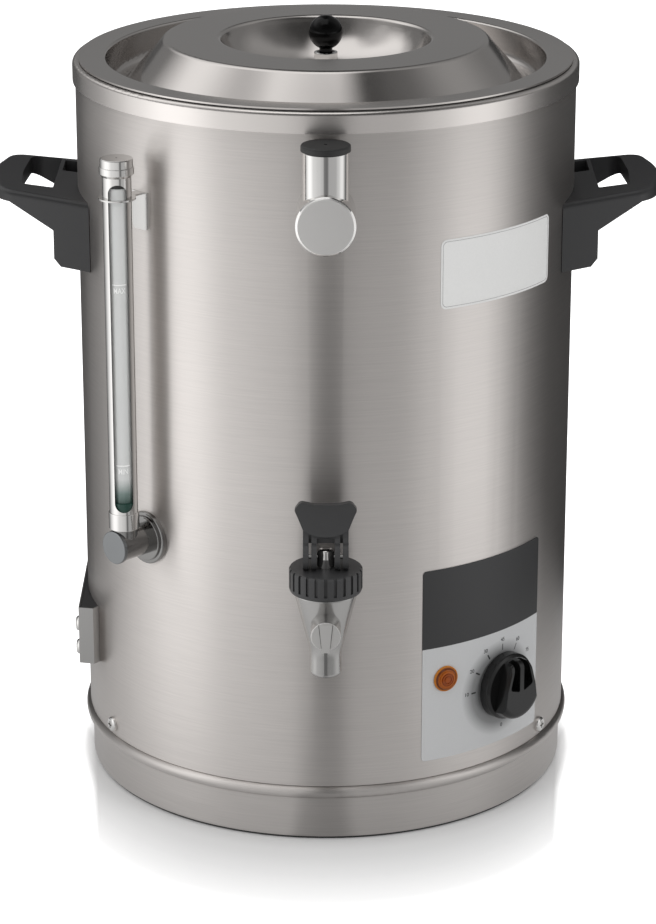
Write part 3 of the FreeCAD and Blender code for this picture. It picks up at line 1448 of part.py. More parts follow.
def make_handles():
    right = make_right_handle()
    left = doc.addObject("Part::Mirroring", "left_handle")
    left.Source = right
    left.Normal = Vector(1, 0, 0)
    plates = []
    screws = []
    inner = s.body_radius - s.shell_sheet
    angle = 2 * math.degrees(math.asin(s.handle_plate_half_width.value / inner.value))
    for name, place in (("left", left_place), ("right", right_place)):
        plate = new_body(f"handle_plate_{name}", place)
        section = new_sketch(plate, "YZ_Plane")
        half = s.handle_plate_height / 2
        draw_outline(section, box_corners(
            inner - s.handle_plate_sheet, inner, s.handle_screw_height - half, s.handle_screw_height + half))
        revolve(plate, section, angle=angle, symmetric=True)
        for side in (-1, 1):
            hole = new_sketch(plate, "XZ_Plane")
            draw_circle(hole, side * s.handle_screw_offset, s.handle_screw_height, s.handle_screw_radius)
            pocket(plate, hole)
            spot = place * Placement(
                Vector(side * s.handle_screw_offset.value, s.handle_screw_seat.value,
                       s.handle_screw_height.value), Rotation())
            screws.append(turned_outward(f"handle_screw_{name}_{side + 2}", [
                (-s.handle_screw_head, 0), (-s.handle_screw_head, s.handle_screw_head_radius),
                (0, s.handle_screw_head_radius), (0, s.handle_screw_radius),
                (s.handle_screw_length, s.handle_screw_radius), (s.handle_screw_length, 0)], spot))
        plates.append(plate)
    group("handle_plates", plates)
    group("handle_screws", screws)


# Inlet housing on the left side; its local +x is the dispenser's back

def make_inlet():
    face = s.inlet_face
    sheet = s.inlet_sheet
    cover = new_body("inlet_cover", left_place)
    plan = new_sketch(cover, "XY_Plane", lift=s.inlet_foot)
    right_outer = [
        (s.inlet_half_width, face), (s.inlet_end_half_width, s.inlet_end_face), (s.inlet_root_half_width, 142.6)]
    right_inner = [
        (s.inlet_root_half_width - sheet, 143.2), (s.inlet_end_half_width - sheet * 1.3, s.inlet_end_face),
        (s.inlet_half_width - sheet, face - sheet)]
    left_outer = [(-x, y) for x, y in reversed(right_outer)]
    left_inner = [(-x, y) for x, y in reversed(right_inner)]
    draw_outline(plan, right_outer + right_inner + left_inner + left_outer)
    pad(cover, plan, s.inlet_top - s.inlet_foot)
    seat_on_cylinder(cover, s.body_radius, drop=300)
    housing = new_body("inlet_housing", left_place)
    foot = s.inlet_foot + s.inlet_recess
    block = new_sketch(housing, "XY_Plane", lift=foot)
    draw_outline(block, [
        (-(s.inlet_root_half_width - sheet), 143.2), (-(s.inlet_end_half_width - sheet * 1.3), s.inlet_end_face),
        (-(s.inlet_half_width - sheet), face - sheet), (s.inlet_half_width - sheet, face - sheet),
        (s.inlet_end_half_width - sheet * 1.3, s.inlet_end_face), (s.inlet_root_half_width - sheet, 143.2)][::-1])
    pad(housing, block, s.inlet_top - s.inlet_recess - foot)
    seat_on_cylinder(housing, s.body_radius, drop=300)
    for body in (cover, housing):
        for side in (-1, 1):
            holes = new_sketch(body, "XZ_Plane")
            for height in (s.inlet_screw_low, s.inlet_screw_high):
                draw_circle(holes, side * s.inlet_screw_offset, height, s.pan_shank_radius)
            pocket(body, holes)
        hole = new_sketch(body, "YZ_Plane", lift=s.inlet_end_half_width + s.bushing_flange - s.bushing_length - 1)
        draw_circle(hole, s.bushing_reach, s.bushing_height, s.bushing_radius)
        pocket(body, hole, reverse=True)
    screws = []
    for side in (-1, 1):
        for row, height in enumerate((s.inlet_screw_low, s.inlet_screw_high)):
            spot = left_place * Placement(
                Vector(side * s.inlet_screw_offset.value, face.value, height.value), Rotation())
            screws.append(pan_screw(f"inlet_screw_{row + 1}_{side + 2}", spot, 13.0))
    group("inlet_screws", screws)


def make_cord_bushing():
    """The round entry for a mains lead, blind, at the back end of the inlet housing."""
    mouth = s.inlet_end_half_width + s.bushing_flange
    spot = left_place * Placement(
        Vector(0, s.bushing_reach.value, s.bushing_height.value), Rotation(UP, -90))
    turned_outward("cord_bushing", [
        (mouth - s.bushing_length - 1, 0), (mouth - s.bushing_length - 1, s.bushing_radius),
        (s.inlet_end_half_width, s.bushing_radius), (s.inlet_end_half_width, s.bushing_flange_radius),
        (mouth, s.bushing_flange_radius, 0.8), (mouth, s.bushing_bore), (mouth - s.bushing_length, s.bushing_bore),
        (mouth - s.bushing_length, 0)], spot)


# Heating and electrical pieces

def element_legs():
    """Where the two ends of the heating element go down through the tank's floor."""
    start = -90 + (360 - s.element_sweep.value) / 2 + 180
    legs = []
    for angle in (start, start + s.element_sweep.value):
        turn = math.radians(angle)
        legs.append((s.element_radius.value * math.cos(turn), s.element_radius.value * math.sin(turn)))
    return legs


def make_heating_element():
    start = 90 + (360 - s.element_sweep.value) / 2
    body = new_body("heating_element", Placement(Vector(), Rotation(UP, start)))
    tube = new_sketch(body, "XZ_Plane")
    draw_circle(tube, s.element_radius, s.element_height, s.element_tube)
    revolve(body, tube, angle=s.element_sweep)
    sweep = math.radians(s.element_sweep.value)
    for turn in (0.0, sweep):
        x = s.element_radius * math.cos(turn)
        y = s.element_radius * math.sin(turn)
        leg = new_sketch(body, "XY_Plane", lift=s.element_foot)
        draw_circle(leg, x, y, s.element_tube)
        pad(body, leg, s.element_height + s.element_tube - s.element_foot)
    nuts = []
    for index, (x, y) in enumerate(element_legs()):
        foot = s.tank_floor - s.tank_sheet - s.element_nut_height
        spot = Placement(Vector(x, y, foot.value), Rotation())
        nuts.append(hex_nut(f"element_nut_{index + 1}", spot, s.element_nut_width, s.element_nut_height,
                            s.element_tube))
    group("element_nuts", nuts)


def make_safety_cutout():
    top = s.tank_floor - s.tank_sheet
    foot = top - s.cutout_height
    body = turned("safety_cutout", [
        (0, foot), (s.cutout_radius - 4, foot), (s.cutout_radius - 4, top - 3), (s.cutout_radius, top - 3),
        (s.cutout_radius, top), (0, top)], Placement(Vector(-45, 20, 0), Rotation()))
    for side in (-1, 1):
        blade = new_sketch(body, "XY_Plane", lift=foot)
        draw_outline(blade, box_corners(side * 5 - 0.4, side * 5 + 0.4, -3.0, 3.0))
        pad(body, blade, 9, reverse=True)


def make_terminal_block():
    body = new_body("terminal_block", Placement(Vector(-70, 45, s.plate_level.value), Rotation(UP, -55)))
    block = new_sketch(body, "XY_Plane")
    draw_outline(block, box_corners(
        -s.terminal_length / 2, s.terminal_length / 2, -s.terminal_width / 2, s.terminal_width / 2))
    pad(body, block, s.terminal_height)
    for index in range(3):
        middle = (index - 1) * (s.terminal_slot + 5)
        slot = new_sketch(body, "XY_Plane", lift=s.terminal_height)
        draw_outline(slot, box_corners(
            middle - s.terminal_slot / 2, middle + s.terminal_slot / 2, -s.terminal_width / 2 - 1,
            s.terminal_width / 2 + 1))
        pocket(body, slot, 5)


make_outer_shell()
make_top_collar()
make_base_ring()
make_base_plate()
make_foot_strip()
make_base_fasteners()
make_water_tank()
make_rim_seal()
make_milk_pot()
make_drain_pipe()
make_lid()
make_lid_seal()
make_lid_knob()
make_filler()
make_gauge_fittings()
make_gauge_column()
make_gauge_bracket()
make_tank_nuts()
make_tap_body()
make_tap_mounting()
make_tap_bonnet()
make_tap_plunger()
make_tap_spring()
make_tap_lever()
make_control_panel()
make_lamp()
make_thermostat()
make_thermostat_knob()
make_handles()
make_inlet()
make_cord_bushing()
make_heating_element()
make_safety_cutout()
make_terminal_block()

NODES = (
    "outer_shell", "top_collar", "base_ring", "base_plate", "foot_strip", "base_screws", "base_tie_rod",
    "base_nut", "water_tank", "rim_seal", "milk_pot", "drain_pipe", "heating_element", "element_nuts",
    "safety_cutout", "terminal_block", "thermostat_body", "thermostat_screws", "thermostat_bulb",
    "thermostat_shaft", "thermostat_knob", "control_panel", "lamp_lens", "lamp_body", "inlet_housing",
    "inlet_cover", "inlet_screws", "cord_bushing", "lid", "lid_seal", "lid_stem", "lid_knob", "lid_screw",
    "filler_elbow", "filler_seal", "filler_nut", "filler_cap", "gauge_elbow", "gauge_plug", "gauge_rosette",
    "gauge_guard_tube", "gauge_glass", "gauge_bottom_seal", "gauge_top_seal", "gauge_lower_collar",
    "gauge_cap", "gauge_bracket", "tank_nuts", "tap_body", "tap_washer", "tap_bonnet", "tap_plunger",
    "tap_seat", "tap_spring", "tap_lever", "lever_pin", "left_handle", "right_handle", "handle_plates",
    "handle_screws",
)


def write_parts():
    doc.recompute()
    for thing in doc.Objects:
        if "Invalid" in thing.State or "Error" in thing.State:
            raise RuntimeError(f"{thing.Label} did not build: {thing.State}")
    os.makedirs("parts", exist_ok=True)
    for label in NODES:
        piece = doc.getObjectsByLabel(label)[0]
        if piece.Shape.isNull() or not piece.Shape.isValid():
            raise RuntimeError(f"{label} has no valid shape")
        piece.Shape.exportStep(f"parts/{label}.step")


write_parts()
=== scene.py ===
import math

import bmesh
import bpy
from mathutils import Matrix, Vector


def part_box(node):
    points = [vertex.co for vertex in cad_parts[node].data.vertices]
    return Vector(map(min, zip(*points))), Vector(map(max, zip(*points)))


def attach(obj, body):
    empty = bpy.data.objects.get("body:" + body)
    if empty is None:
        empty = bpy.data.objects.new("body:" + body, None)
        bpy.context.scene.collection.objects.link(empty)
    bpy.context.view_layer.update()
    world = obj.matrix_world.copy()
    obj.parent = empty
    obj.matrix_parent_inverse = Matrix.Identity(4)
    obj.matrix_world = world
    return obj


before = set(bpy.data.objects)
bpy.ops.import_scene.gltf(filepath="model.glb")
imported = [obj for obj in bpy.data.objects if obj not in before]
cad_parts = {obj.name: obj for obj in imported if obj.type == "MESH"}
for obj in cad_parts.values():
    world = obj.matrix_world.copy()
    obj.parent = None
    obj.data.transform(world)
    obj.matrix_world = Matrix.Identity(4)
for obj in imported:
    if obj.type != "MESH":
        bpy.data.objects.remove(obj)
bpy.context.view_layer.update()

# A water-bath milk warmer in a plain white studio. Lengths are metres, azimuths are degrees from the front
# and grow to the right, and the object's axis is the Z axis.

SHELL_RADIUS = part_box("outer_shell")[1].x
BASE_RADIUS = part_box("base_ring")[1].x
FOIL_THICKNESS = 0.0004
PRINT_LIFT = 0.00008
WHITE = (1.0, 1.0, 1.0)


# Node trees

BEND_REACH = 1.1    # how far a bend's exact normal is used, in its own radii


class Tree:
    """Builds one shader tree: a node for each call, and links where an input is another node's output."""

    def __init__(self, tree):
        self.tree = tree
        tree.nodes.clear()

    def node(self, kind, inputs=None, **settings):
        node = self.tree.nodes.new(kind)
        for name, value in settings.items():
            setattr(node, name, value)
        for name, value in (inputs or {}).items():
            if isinstance(value, bpy.types.NodeSocket):
                self.tree.links.new(value, node.inputs[name])
            else:
                node.inputs[name].default_value = value
        return node

    def math(self, operation, *values):
        return self.node("ShaderNodeMath", dict(enumerate(values)), operation=operation).outputs[0]

    def line(self, value, slope, start):
        """slope * value + start."""
        return self.math("MULTIPLY_ADD", value, slope, start)

    def vector_math(self, operation, *values):
        """A Vector Math node for an operation that gives a vector."""
        node = self.node("ShaderNodeVectorMath", dict(enumerate(values)), operation=operation)
        return node.outputs["Vector"]

    def times(self, colour, factor):
        """A colour or vector times another, or times a number."""
        return self.vector_math("MULTIPLY", colour, factor)

    def length(self, vector):
        return self.node("ShaderNodeVectorMath", {0: vector}, operation="LENGTH").outputs["Value"]

    def spread(self, value, low, high, start=0.0, end=1.0):
        """start up to low, end from high on, and a straight run between them."""
        node = self.node("ShaderNodeMapRange", {
            "Value": value, "From Min": low, "From Max": high, "To Min": start, "To Max": end})
        return node.outputs["Result"]

    def fit(self, value, low, high):
        """Moves a value from 0..1 to low..high."""
        return self.spread(value, 0.0, 1.0, low, high)

    def ramp(self, factor, stops, interpolation="LINEAR"):
        """A colour ramp with stops (position, colour), each colour a grey number or three numbers."""
        node = self.node("ShaderNodeValToRGB", {"Fac": factor})
        node.color_ramp.interpolation = interpolation
        elements = node.color_ramp.elements
        while len(elements) < len(stops):
            elements.new(0.5)
        for element, (position, colour) in zip(elements, stops):
            element.position = position
            element.color = rgba(colour if isinstance(colour, tuple) else (colour,) * 3)
        return node.outputs["Color"]

    def mix(self, factor, first, second):
        node = self.node("ShaderNodeMix", {"Factor": factor, "A": first, "B": second}, data_type="RGBA")
        return node.outputs["Result"]

    def position(self):
        """The point's place in the object's frame, as (vector, x, y, z)."""
        vector = self.node("ShaderNodeTexCoord").outputs["Object"]
        parts = self.node("ShaderNodeSeparateXYZ", {"Vector": vector}).outputs
        return vector, parts["X"], parts["Y"], parts["Z"]

    def distance(self, point=(0.0, 0.0, 0.0)):
        """How far the shaded point is from a point of the object's frame."""
        return self.length(self.vector_math("SUBTRACT", self.position()[0], tuple(point)))

    def azimuth(self):
        """The shaded point's azimuth as 0..1, with 0.5 at the front."""
        _, x, y, _ = self.position()
        turn = self.math("ARCTAN2", x, self.math("MULTIPLY", y, -1.0))
        return self.line(turn, 0.5 / math.pi, 0.5)

    def noise(self, features, detail=2.0, roughness=0.5):
        """A noise field with this many features to the metre, or this many along X, Y and Z."""
        scale = features if isinstance(features, tuple) else (features,) * 3
        scaled = self.node("ShaderNodeMapping", {"Vector": self.position()[0], "Scale": scale})
        field = self.node("ShaderNodeTexNoise", {
            "Vector": scaled.outputs["Vector"], "Scale": 1.0, "Detail": detail, "Roughness": roughness})
        return field.outputs["Fac"]

    def rolled_normal(self, bends):
        """The mesh's normal, made exact on the rounded bends of a turned sheet.

        A bend is (radius and height of its middle, side, foot, its own radius). Its side is 1 where it faces
        away from the axis and -1 where it faces the axis, and its foot is its lowest height.
        """
        vector, _, _, z = self.position()
        flat = self.times(vector, (1.0, 1.0, 0.0))
        reach = self.length(flat)
        outward = self.vector_math("NORMALIZE", flat)
        normal = self.node("ShaderNodeNewGeometry").outputs["Normal"]
        for ring, middle, side, foot, radius in bends:
            past = self.line(reach, 1.0, -ring)
            rise = self.node("ShaderNodeCombineXYZ", {"Z": self.line(z, 1.0, -middle)}).outputs["Vector"]
            spoke = self.vector_math("ADD", self.times(outward, past), rise)
            there = self.math("GREATER_THAN", self.math("MULTIPLY", past, side), 0.0)
            there = self.math("MULTIPLY", there, self.math("GREATER_THAN", z, foot))
            near = self.math("LESS_THAN", self.length(spoke), radius * BEND_REACH)
            normal = self.mix(
                self.math("MULTIPLY", there, near), normal, self.vector_math("NORMALIZE", spoke))
        return normal


def rgba(colour, factor=1.0):
    """A colour times a factor, with its alpha."""
    return (*(part * factor for part in colour), 1.0)


def new_material(name):
    material = bpy.data.materials.new(name)
    material.use_nodes = True
    return material, Tree(material.node_tree)


def finish_material(tree, **sockets):
    """Ends a tree in a Principled shader whose sockets are given by name, with _ for a space."""
    inputs = {name.replace("_", " "): value for name, value in sockets.items()}
    shader = tree.node("ShaderNodeBsdfPrincipled", inputs)
    tree.node("ShaderNodeOutputMaterial", {"Surface": shader.outputs[0]})


# Materials

BRUSHED_TINT = (1.0, 0.95, 0.915)
STEEL_TINT = (1.0, 0.985, 0.965)


def brushed_steel(name, grey, rough, grain_along=(30.0, 30.0, 1300.0), anisotropy=0.9, bump=0.05,
                  contrast=0.22, bends=()):
    """Steel with grain that runs round the object's axis."""
    material, tree = new_material(name)
    grain = tree.noise(grain_along, detail=3.0, roughness=0.65)
    base = tree.mix(tree.noise(9.0), rgba(BRUSHED_TINT, grey * 0.93), rgba(BRUSHED_TINT, grey))
    tone = tree.line(grain, contrast, 1 - contrast / 2)
    relief = tree.node("ShaderNodeBump", {
        "Height": grain, "Strength": bump, "Distance": 0.0001, "Normal": tree.rolled_normal(bends)})
    tangent = tree.node("ShaderNodeTangent", direction_type="RADIAL", axis="Z")
    finish_material(
        tree, Base_Color=tree.times(base, tone), Metallic=1.0,
        Roughness=tree.fit(grain, rough * 0.88, rough * 1.12), Anisotropic=anisotropy,
        Anisotropic_Rotation=0.25, Normal=relief.outputs["Normal"], Tangent=tangent.outputs["Tangent"])
    return material


def bright_steel(name, grey, rough, tint=STEEL_TINT):
    """Polished steel with faint smears."""
    material, tree = new_material(name)
    smear = tree.noise(60.0, detail=4.0, roughness=0.6)
    finish_material(
        tree, Base_Color=tree.mix(smear, rgba(tint, grey * 0.96), rgba(tint, grey)), Metallic=1.0,
        Roughness=tree.fit(smear, rough * 0.75, rough * 1.25))
    return material


def faced_steel(name, node, depth, grey, rough, face_grey):
    """Polished steel for a node whose front is turned and left matt, down to this depth."""
    material, tree = new_material(name)
    smear = tree.noise(60.0, detail=4.0, roughness=0.6)
    matt = tree.math("LESS_THAN", tree.position()[2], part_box(node)[0].y + depth)
    base = tree.mix(matt, rgba(STEEL_TINT, grey), rgba(STEEL_TINT, face_grey))
    worn = tree.mix(smear, rgba(WHITE, 0.96), rgba(WHITE))
    finish_material(
        tree, Base_Color=tree.times(base, worn), Metallic=1.0,
        Roughness=tree.line(matt, tree.fit(tree.noise(1500.0), 0.32, 0.40), rough))
    return material


def moulded(name, colour, rough, grain=900.0, bump=0.12, coat=0.0, shine=0.5):
    """Moulded plastic or rubber with a fine grain."""
    material, tree = new_material(name)
    cloud = tree.noise(35.0)
    relief = tree.node("ShaderNodeBump", {
        "Height": tree.noise(grain, detail=3.0), "Strength": bump, "Distance": 0.00012})
    finish_material(
        tree, Base_Color=tree.mix(cloud, rgba(colour), rgba(colour, 1.18)),
        Roughness=tree.fit(cloud, rough * 0.92, rough * 1.08), Normal=relief.outputs["Normal"],
        Coat_Weight=coat, Coat_Roughness=0.12, Specular_IOR_Level=shine)
    return material


def paper(name, colour, rough=0.5):
    """Print or a sticker's face, with faint fibres."""
    material, tree = new_material(name)
    fibre = tree.noise(700.0)
    finish_material(
        tree, Base_Color=tree.mix(fibre, rgba(colour, 0.94), rgba(colour)),
        Roughness=tree.fit(fibre, rough - 0.05, rough))
    return material


GLASS_FILM = ((0.0, (0.012, 0.050, 0.038)), (0.45, (0.20, 0.27, 0.25)), (1.0, (0.80, 0.81, 0.80)))
GLASS_FADE = (0.005, 0.022)


def clear_glass():
    """Glass with a film of scale inside, green at its foot where it stands in its seal."""
    material, tree = new_material("clear_glass")
    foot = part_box("gauge_guard_tube")[0].z
    tint = tree.spread(tree.position()[3], *(foot + height for height in GLASS_FADE))
    haze = tree.noise((120.0, 120.0, 25.0))
    finish_material(
        tree, Base_Color=tree.ramp(tint, GLASS_FILM), Roughness=tree.fit(haze, 0.10, 0.20), IOR=1.47,
        Transmission_Weight=0.16)
    return material


FOIL_SPLIT = 0.0735    # the level line's height on the control panel
# Painted shade on the foil round the knob: its middle's shift from the knob's, the distances over which it
# fades out, and its darkest level.
KNOB_SHADE_SHIFT = Vector((-0.0018, -0.0018, -0.0015))
KNOB_SHADE_REACH = (0.0235, 0.0315)
KNOB_SHADE_LEVEL = 0.42


def control_foil():
    """Printed foil: charcoal above a level line and silver grey below it, with painted shade round the knob.
    """
    material, tree = new_material("control_foil")
    above = tree.math("GREATER_THAN", tree.position()[3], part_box("control_panel")[0].z + FOIL_SPLIT)
    grain = tree.noise(1500.0)
    silver = tree.mix(grain, rgba((0.50, 0.505, 0.51)), rgba((0.56, 0.565, 0.57)))
    charcoal = tree.mix(grain, rgba((0.020, 0.020, 0.021)), rgba((0.026, 0.026, 0.027)))
    # Painted shade round the knob, darkest near it and shifted to its lower left.
    low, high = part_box("thermostat_knob")
    lee = tree.distance((low + high) / 2 + KNOB_SHADE_SHIFT)
    painted_knob_shade = tree.spread(lee, *KNOB_SHADE_REACH, KNOB_SHADE_LEVEL, 1.0)
    finish_material(
        tree, Base_Color=tree.times(tree.mix(above, silver, charcoal), painted_knob_shade),
        Roughness=tree.fit(grain, 0.40, 0.48))
    return material


LENS_PER_METRE = 110.0    # turns a distance from the lens's middle into a place in its rings
LENS_RINGS = (
    (0.0, (0.36, 0.080, 0.006)), (0.45, (0.25, 0.048, 0.004)), (0.66, (0.42, 0.105, 0.006)),
    (0.74, (0.075, 0.014, 0.003)), (0.84, (0.42, 0.125, 0.010)), (0.95, (0.62, 0.27, 0.030)))


def amber_lens():
    """Clear orange plastic over a dark socket, paler towards its rim."""
    material, tree = new_material("amber_lens")
    low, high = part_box("lamp_lens")
    outward = tree.math("MULTIPLY", tree.distance((low + high) / 2), LENS_PER_METRE)
    finish_material(
        tree, Base_Color=tree.ramp(outward, LENS_RINGS), Roughness=tree.fit(tree.noise(300.0), 0.12, 0.2),
        Specular_IOR_Level=0.25, Coat_Weight=0.12, Coat_Roughness=0.06)
    return material


COLLAR_BENDS = ((0.15205, 0.4527, 1, 0.4527, 0.0026),)
BASE_BENDS = ((0.1520, 0.0324, 1, 0.0280, 0.0038),)
LID_BENDS = (
    (0.135836, 0.4550, -1, 0.45517, 0.0018), (0.096665, 0.4625, 1, 0.46547, 0.0045),
    (0.066538, 0.4640, -1, 0.4651, 0.0030))

SHELL_STEEL = brushed_steel("shell_steel", 0.71, 0.42)
COLLAR_STEEL = brushed_steel(
    "collar_steel", 0.72, 0.25, anisotropy=0.15, bump=0.002, contrast=0.05, bends=COLLAR_BENDS)
BASE_STEEL = brushed_steel("base_steel", 0.61, 0.34, bends=BASE_BENDS)
LID_STEEL = brushed_steel(
    "lid_steel", 0.60, 0.17, grain_along=(300.0, 300.0, 300.0), anisotropy=0.2, bump=0.001, contrast=0.03,
    bends=LID_BENDS)
FILLER_STEEL = faced_steel("filler_steel", "filler_elbow", 0.0007, 0.70, 0.07, 0.94)
TAP_STEEL = faced_steel("tap_steel", "tap_body", 0.0012, 0.46, 0.24, 0.72)
CHROME = bright_steel("chrome", 0.70, 0.07)
SATIN_CHROME = bright_steel("satin_chrome", 0.62, 0.16)
DULL_CHROME = bright_steel("dull_chrome", 0.27, 0.16)
MATT_CHROME = bright_steel("matt_chrome", 0.24, 0.40, tint=(0.97, 1.0, 1.02))
COVER_STEEL = bright_steel("cover_steel", 0.32, 0.30)
PLAIN_STEEL = bright_steel("plain_steel", 0.60, 0.30)
ZINC = bright_steel("zinc", 0.55, 0.38, tint=(1.0, 0.99, 0.96))
BRASS = bright_steel("brass", 0.70, 0.25, tint=(1.0, 0.78, 0.42))
HANDLE_PLASTIC = moulded("handle_plastic", (0.020, 0.020, 0.021), 0.42, grain=1400.0)
TAP_PLASTIC = moulded("tap_plastic", (0.036, 0.036, 0.037), 0.46, grain=1500.0, bump=0.08)
KNOB_PLASTIC = moulded(
    "knob_plastic", (0.005, 0.005, 0.005), 0.20, grain=600.0, bump=0.01, coat=0.1, shine=0.35)
BALL_PLASTIC = moulded("ball_plastic", (0.002, 0.002, 0.002), 0.12, grain=600.0, bump=0.01, shine=0.14)
RUBBER = moulded("rubber", (0.018, 0.018, 0.018), 0.55, grain=1100.0)
SILICONE = moulded("silicone", (0.42, 0.41, 0.39), 0.5, grain=1100.0)
GREEN_RUBBER = moulded("green_rubber", (0.010, 0.045, 0.034), 0.35, grain=1100.0)

NODE_MATERIALS = {
    SHELL_STEEL: ("outer_shell",),
    COLLAR_STEEL: ("top_collar",),
    BASE_STEEL: ("base_ring",),
    LID_STEEL: ("lid",),
    FILLER_STEEL: ("filler_elbow",),
    TAP_STEEL: ("tap_body",),
    MATT_CHROME: ("gauge_plug",),
    DULL_CHROME: ("gauge_elbow", "gauge_rosette"),
    COVER_STEEL: ("inlet_cover",),
    CHROME: (
        "gauge_guard_tube", "gauge_cap", "gauge_lower_collar", "base_screws", "inlet_screws", "lever_pin",
        "tap_plunger"),
    SATIN_CHROME: ("gauge_bracket", "lid_stem"),
    PLAIN_STEEL: ("water_tank", "milk_pot", "drain_pipe", "heating_element", "thermostat_bulb", "tap_spring"),
    ZINC: (
        "base_plate", "base_tie_rod", "base_nut", "thermostat_screws", "thermostat_shaft", "lid_screw",
        "filler_nut", "tank_nuts", "handle_plates", "handle_screws"),
    BRASS: ("element_nuts",),
    HANDLE_PLASTIC: (
        "left_handle", "right_handle", "inlet_housing", "lamp_body", "terminal_block", "thermostat_body",
        "safety_cutout"),
    TAP_PLASTIC: ("tap_bonnet", "tap_lever"),
    KNOB_PLASTIC: ("thermostat_knob",),
    BALL_PLASTIC: ("lid_knob",),
    RUBBER: ("foot_strip", "filler_cap", "lid_seal", "gauge_top_seal", "tap_washer", "cord_bushing"),
    SILICONE: ("rim_seal", "filler_seal", "tap_seat"),
    GREEN_RUBBER: ("gauge_bottom_seal",),
    clear_glass(): ("gauge_glass",),
    control_foil(): ("control_panel",),
    amber_lens(): ("lamp_lens",),
}


def dress_nodes():
    """Gives every node of the frame its material."""
    for material, nodes in NODE_MATERIALS.items():
        for node in nodes:
            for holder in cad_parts[node].material_slots:
                holder.material = material


# Printed marks and the sticker, wrapped round upright cylinders

def on_cylinder(azimuth, radius, along, height, axis=(0.0, 0.0)):
    """A point on an upright cylinder, this far along it to the right of an azimuth."""
    turn = math.radians(azimuth) + along / radius
    return Vector((axis[0] + radius * math.sin(turn), axis[1] - radius * math.cos(turn), height))


def add_piece(name, mesh, material):
    mesh.materials.append(material)
    piece = bpy.data.objects.new(name, mesh)
    bpy.context.collection.objects.link(piece)
    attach(piece, "housing")


def mesh_from(name, build):
    """A mesh whose faces build puts into a bmesh."""
    shape = bmesh.new()
    build(shape)
    mesh = bpy.data.meshes.new(name)
    shape.to_mesh(mesh)
    shape.free()
    return mesh


def stripe(shape, start, end, width, place, steps=8):
    """A straight line of print between two points (along, height), with place laying it on its surface."""
    start, end = Vector(start), Vector(end)
    side = (end - start).orthogonal().normalized() * (width / 2)
    rows = []
    for step in range(steps + 1):
        middle = start.lerp(end, step / steps)
        rows.append([shape.verts.new(place(*(middle + side * sign))) for sign in (1, -1)])
    for low, high in zip(rows, rows[1:]):
        shape.faces.new((low[1], high[1], high[0], low[0]))


CAPITAL_HEIGHT = 0.7    # of the font's size
STROKE_GAIN = 0.012     # how much wider each stroke's edges stand, as a part of the letters' height


def text_mesh(name, words, height, place, centre, stretch=1.0):
    """Words as a flat mesh that place lays on its surface.

    They are centred on (along, height), and made taller by stretch.
    """
    curve = bpy.data.curves.new(name, "FONT")
    curve.body = words
    curve.size = height / CAPITAL_HEIGHT
    curve.align_x = "CENTER"
    curve.align_y = "CENTER"
    curve.offset = height * STROKE_GAIN
    holder = bpy.data.objects.new(name, curve)
    bpy.context.collection.objects.link(holder)
    bpy.context.view_layer.update()
    mesh = bpy.data.meshes.new_from_object(holder.evaluated_get(bpy.context.evaluated_depsgraph_get()))
    bpy.data.objects.remove(holder)
    bpy.data.curves.remove(curve)
    for vertex in mesh.vertices:
        vertex.co = place(centre[0] + vertex.co.x, centre[1] + vertex.co.y * stretch)
    return mesh


# The dial's marks are (number, angle from the top, length and width of its tick).
DIAL_AZIMUTH = 45.0
DIAL_MARKS = (
    (0, 180, 0.0, 0.0), (10, -90, 0.0034, 0.0010), (20, -60, 0.0034, 0.0010), (30, -30, 0.0036, 0.0009),
    (45, 0, 0.0042, 0.00055), (60, 30, 0.0042, 0.00055), (75, 60, 0.0022, 0.0006))
DIAL_INNER = 0.0222
DIAL_NUMBERS = 0.0292
BARE_NUMBER_INSET = 0.0015    # a number with no tick stands nearer to the knob by this
NUMBER_HEIGHT = 0.0024


def make_dial():
    """Temperature marks round the thermostat knob."""
    low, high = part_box("thermostat_shaft")
    centre = (low.z + high.z) / 2
    ink = paper("dial_ink", (0.012, 0.012, 0.012))
    radius = SHELL_RADIUS + FOIL_THICKNESS + PRINT_LIFT

    def place(along, height):
        return on_cylinder(DIAL_AZIMUTH, radius, along, centre + height)

    def spoke(angle, reach):
        turn = math.radians(angle)
        return (reach * math.sin(turn), reach * math.cos(turn))

    def ticks(shape):
        for _, angle, length, width in DIAL_MARKS:
            if length:
                stripe(shape, spoke(angle, DIAL_INNER), spoke(angle, DIAL_INNER + length), width, place)

    add_piece("dial_ticks", mesh_from("dial_ticks", ticks), ink)
    for number, angle, length, _ in DIAL_MARKS:
        reach = DIAL_NUMBERS if length else DIAL_NUMBERS - BARE_NUMBER_INSET
        mesh = text_mesh(f"dial_number_{number}", str(number), NUMBER_HEIGHT, place, spoke(angle, reach))
        add_piece(f"dial_number_{number}", mesh, ink)


GLASS_FACING = 5.0
LEVELS = (("MAX", 0.346), ("MIN", 0.234))
LEVEL_HALF_LENGTH = 0.0046
LEVEL_WIDTH = 0.0008
WORD_HEIGHT = 0.0024
WORD_STRETCH = 1.4
WORD_DROP = 0.0037    # from a level line down to the middle of its word


def make_level_marks():
    """The two level lines on the gauge glass, each with its word below it."""
    low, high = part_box("gauge_glass")
    axis = ((low.x + high.x) / 2, (low.y + high.y) / 2)
    radius = (high.x - low.x) / 2 + PRINT_LIFT
    enamel = paper("level_enamel", (0.99, 0.99, 0.98))

    def place(along, height):
        return on_cylinder(GLASS_FACING, radius, along, height, axis)

    for word, level in LEVELS:
        start, end = ((side * LEVEL_HALF_LENGTH, level) for side in (-1, 1))
        line = mesh_from(
            f"level_line_{word}", lambda shape: stripe(shape, start, end, LEVEL_WIDTH, place, steps=16))
        add_piece(f"level_line_{word}", line, enamel)
        mesh = text_mesh(
            f"level_word_{word}", word, WORD_HEIGHT, place, (0.0, level - WORD_DROP), WORD_STRETCH)
        add_piece(f"level_word_{word}", mesh, enamel)


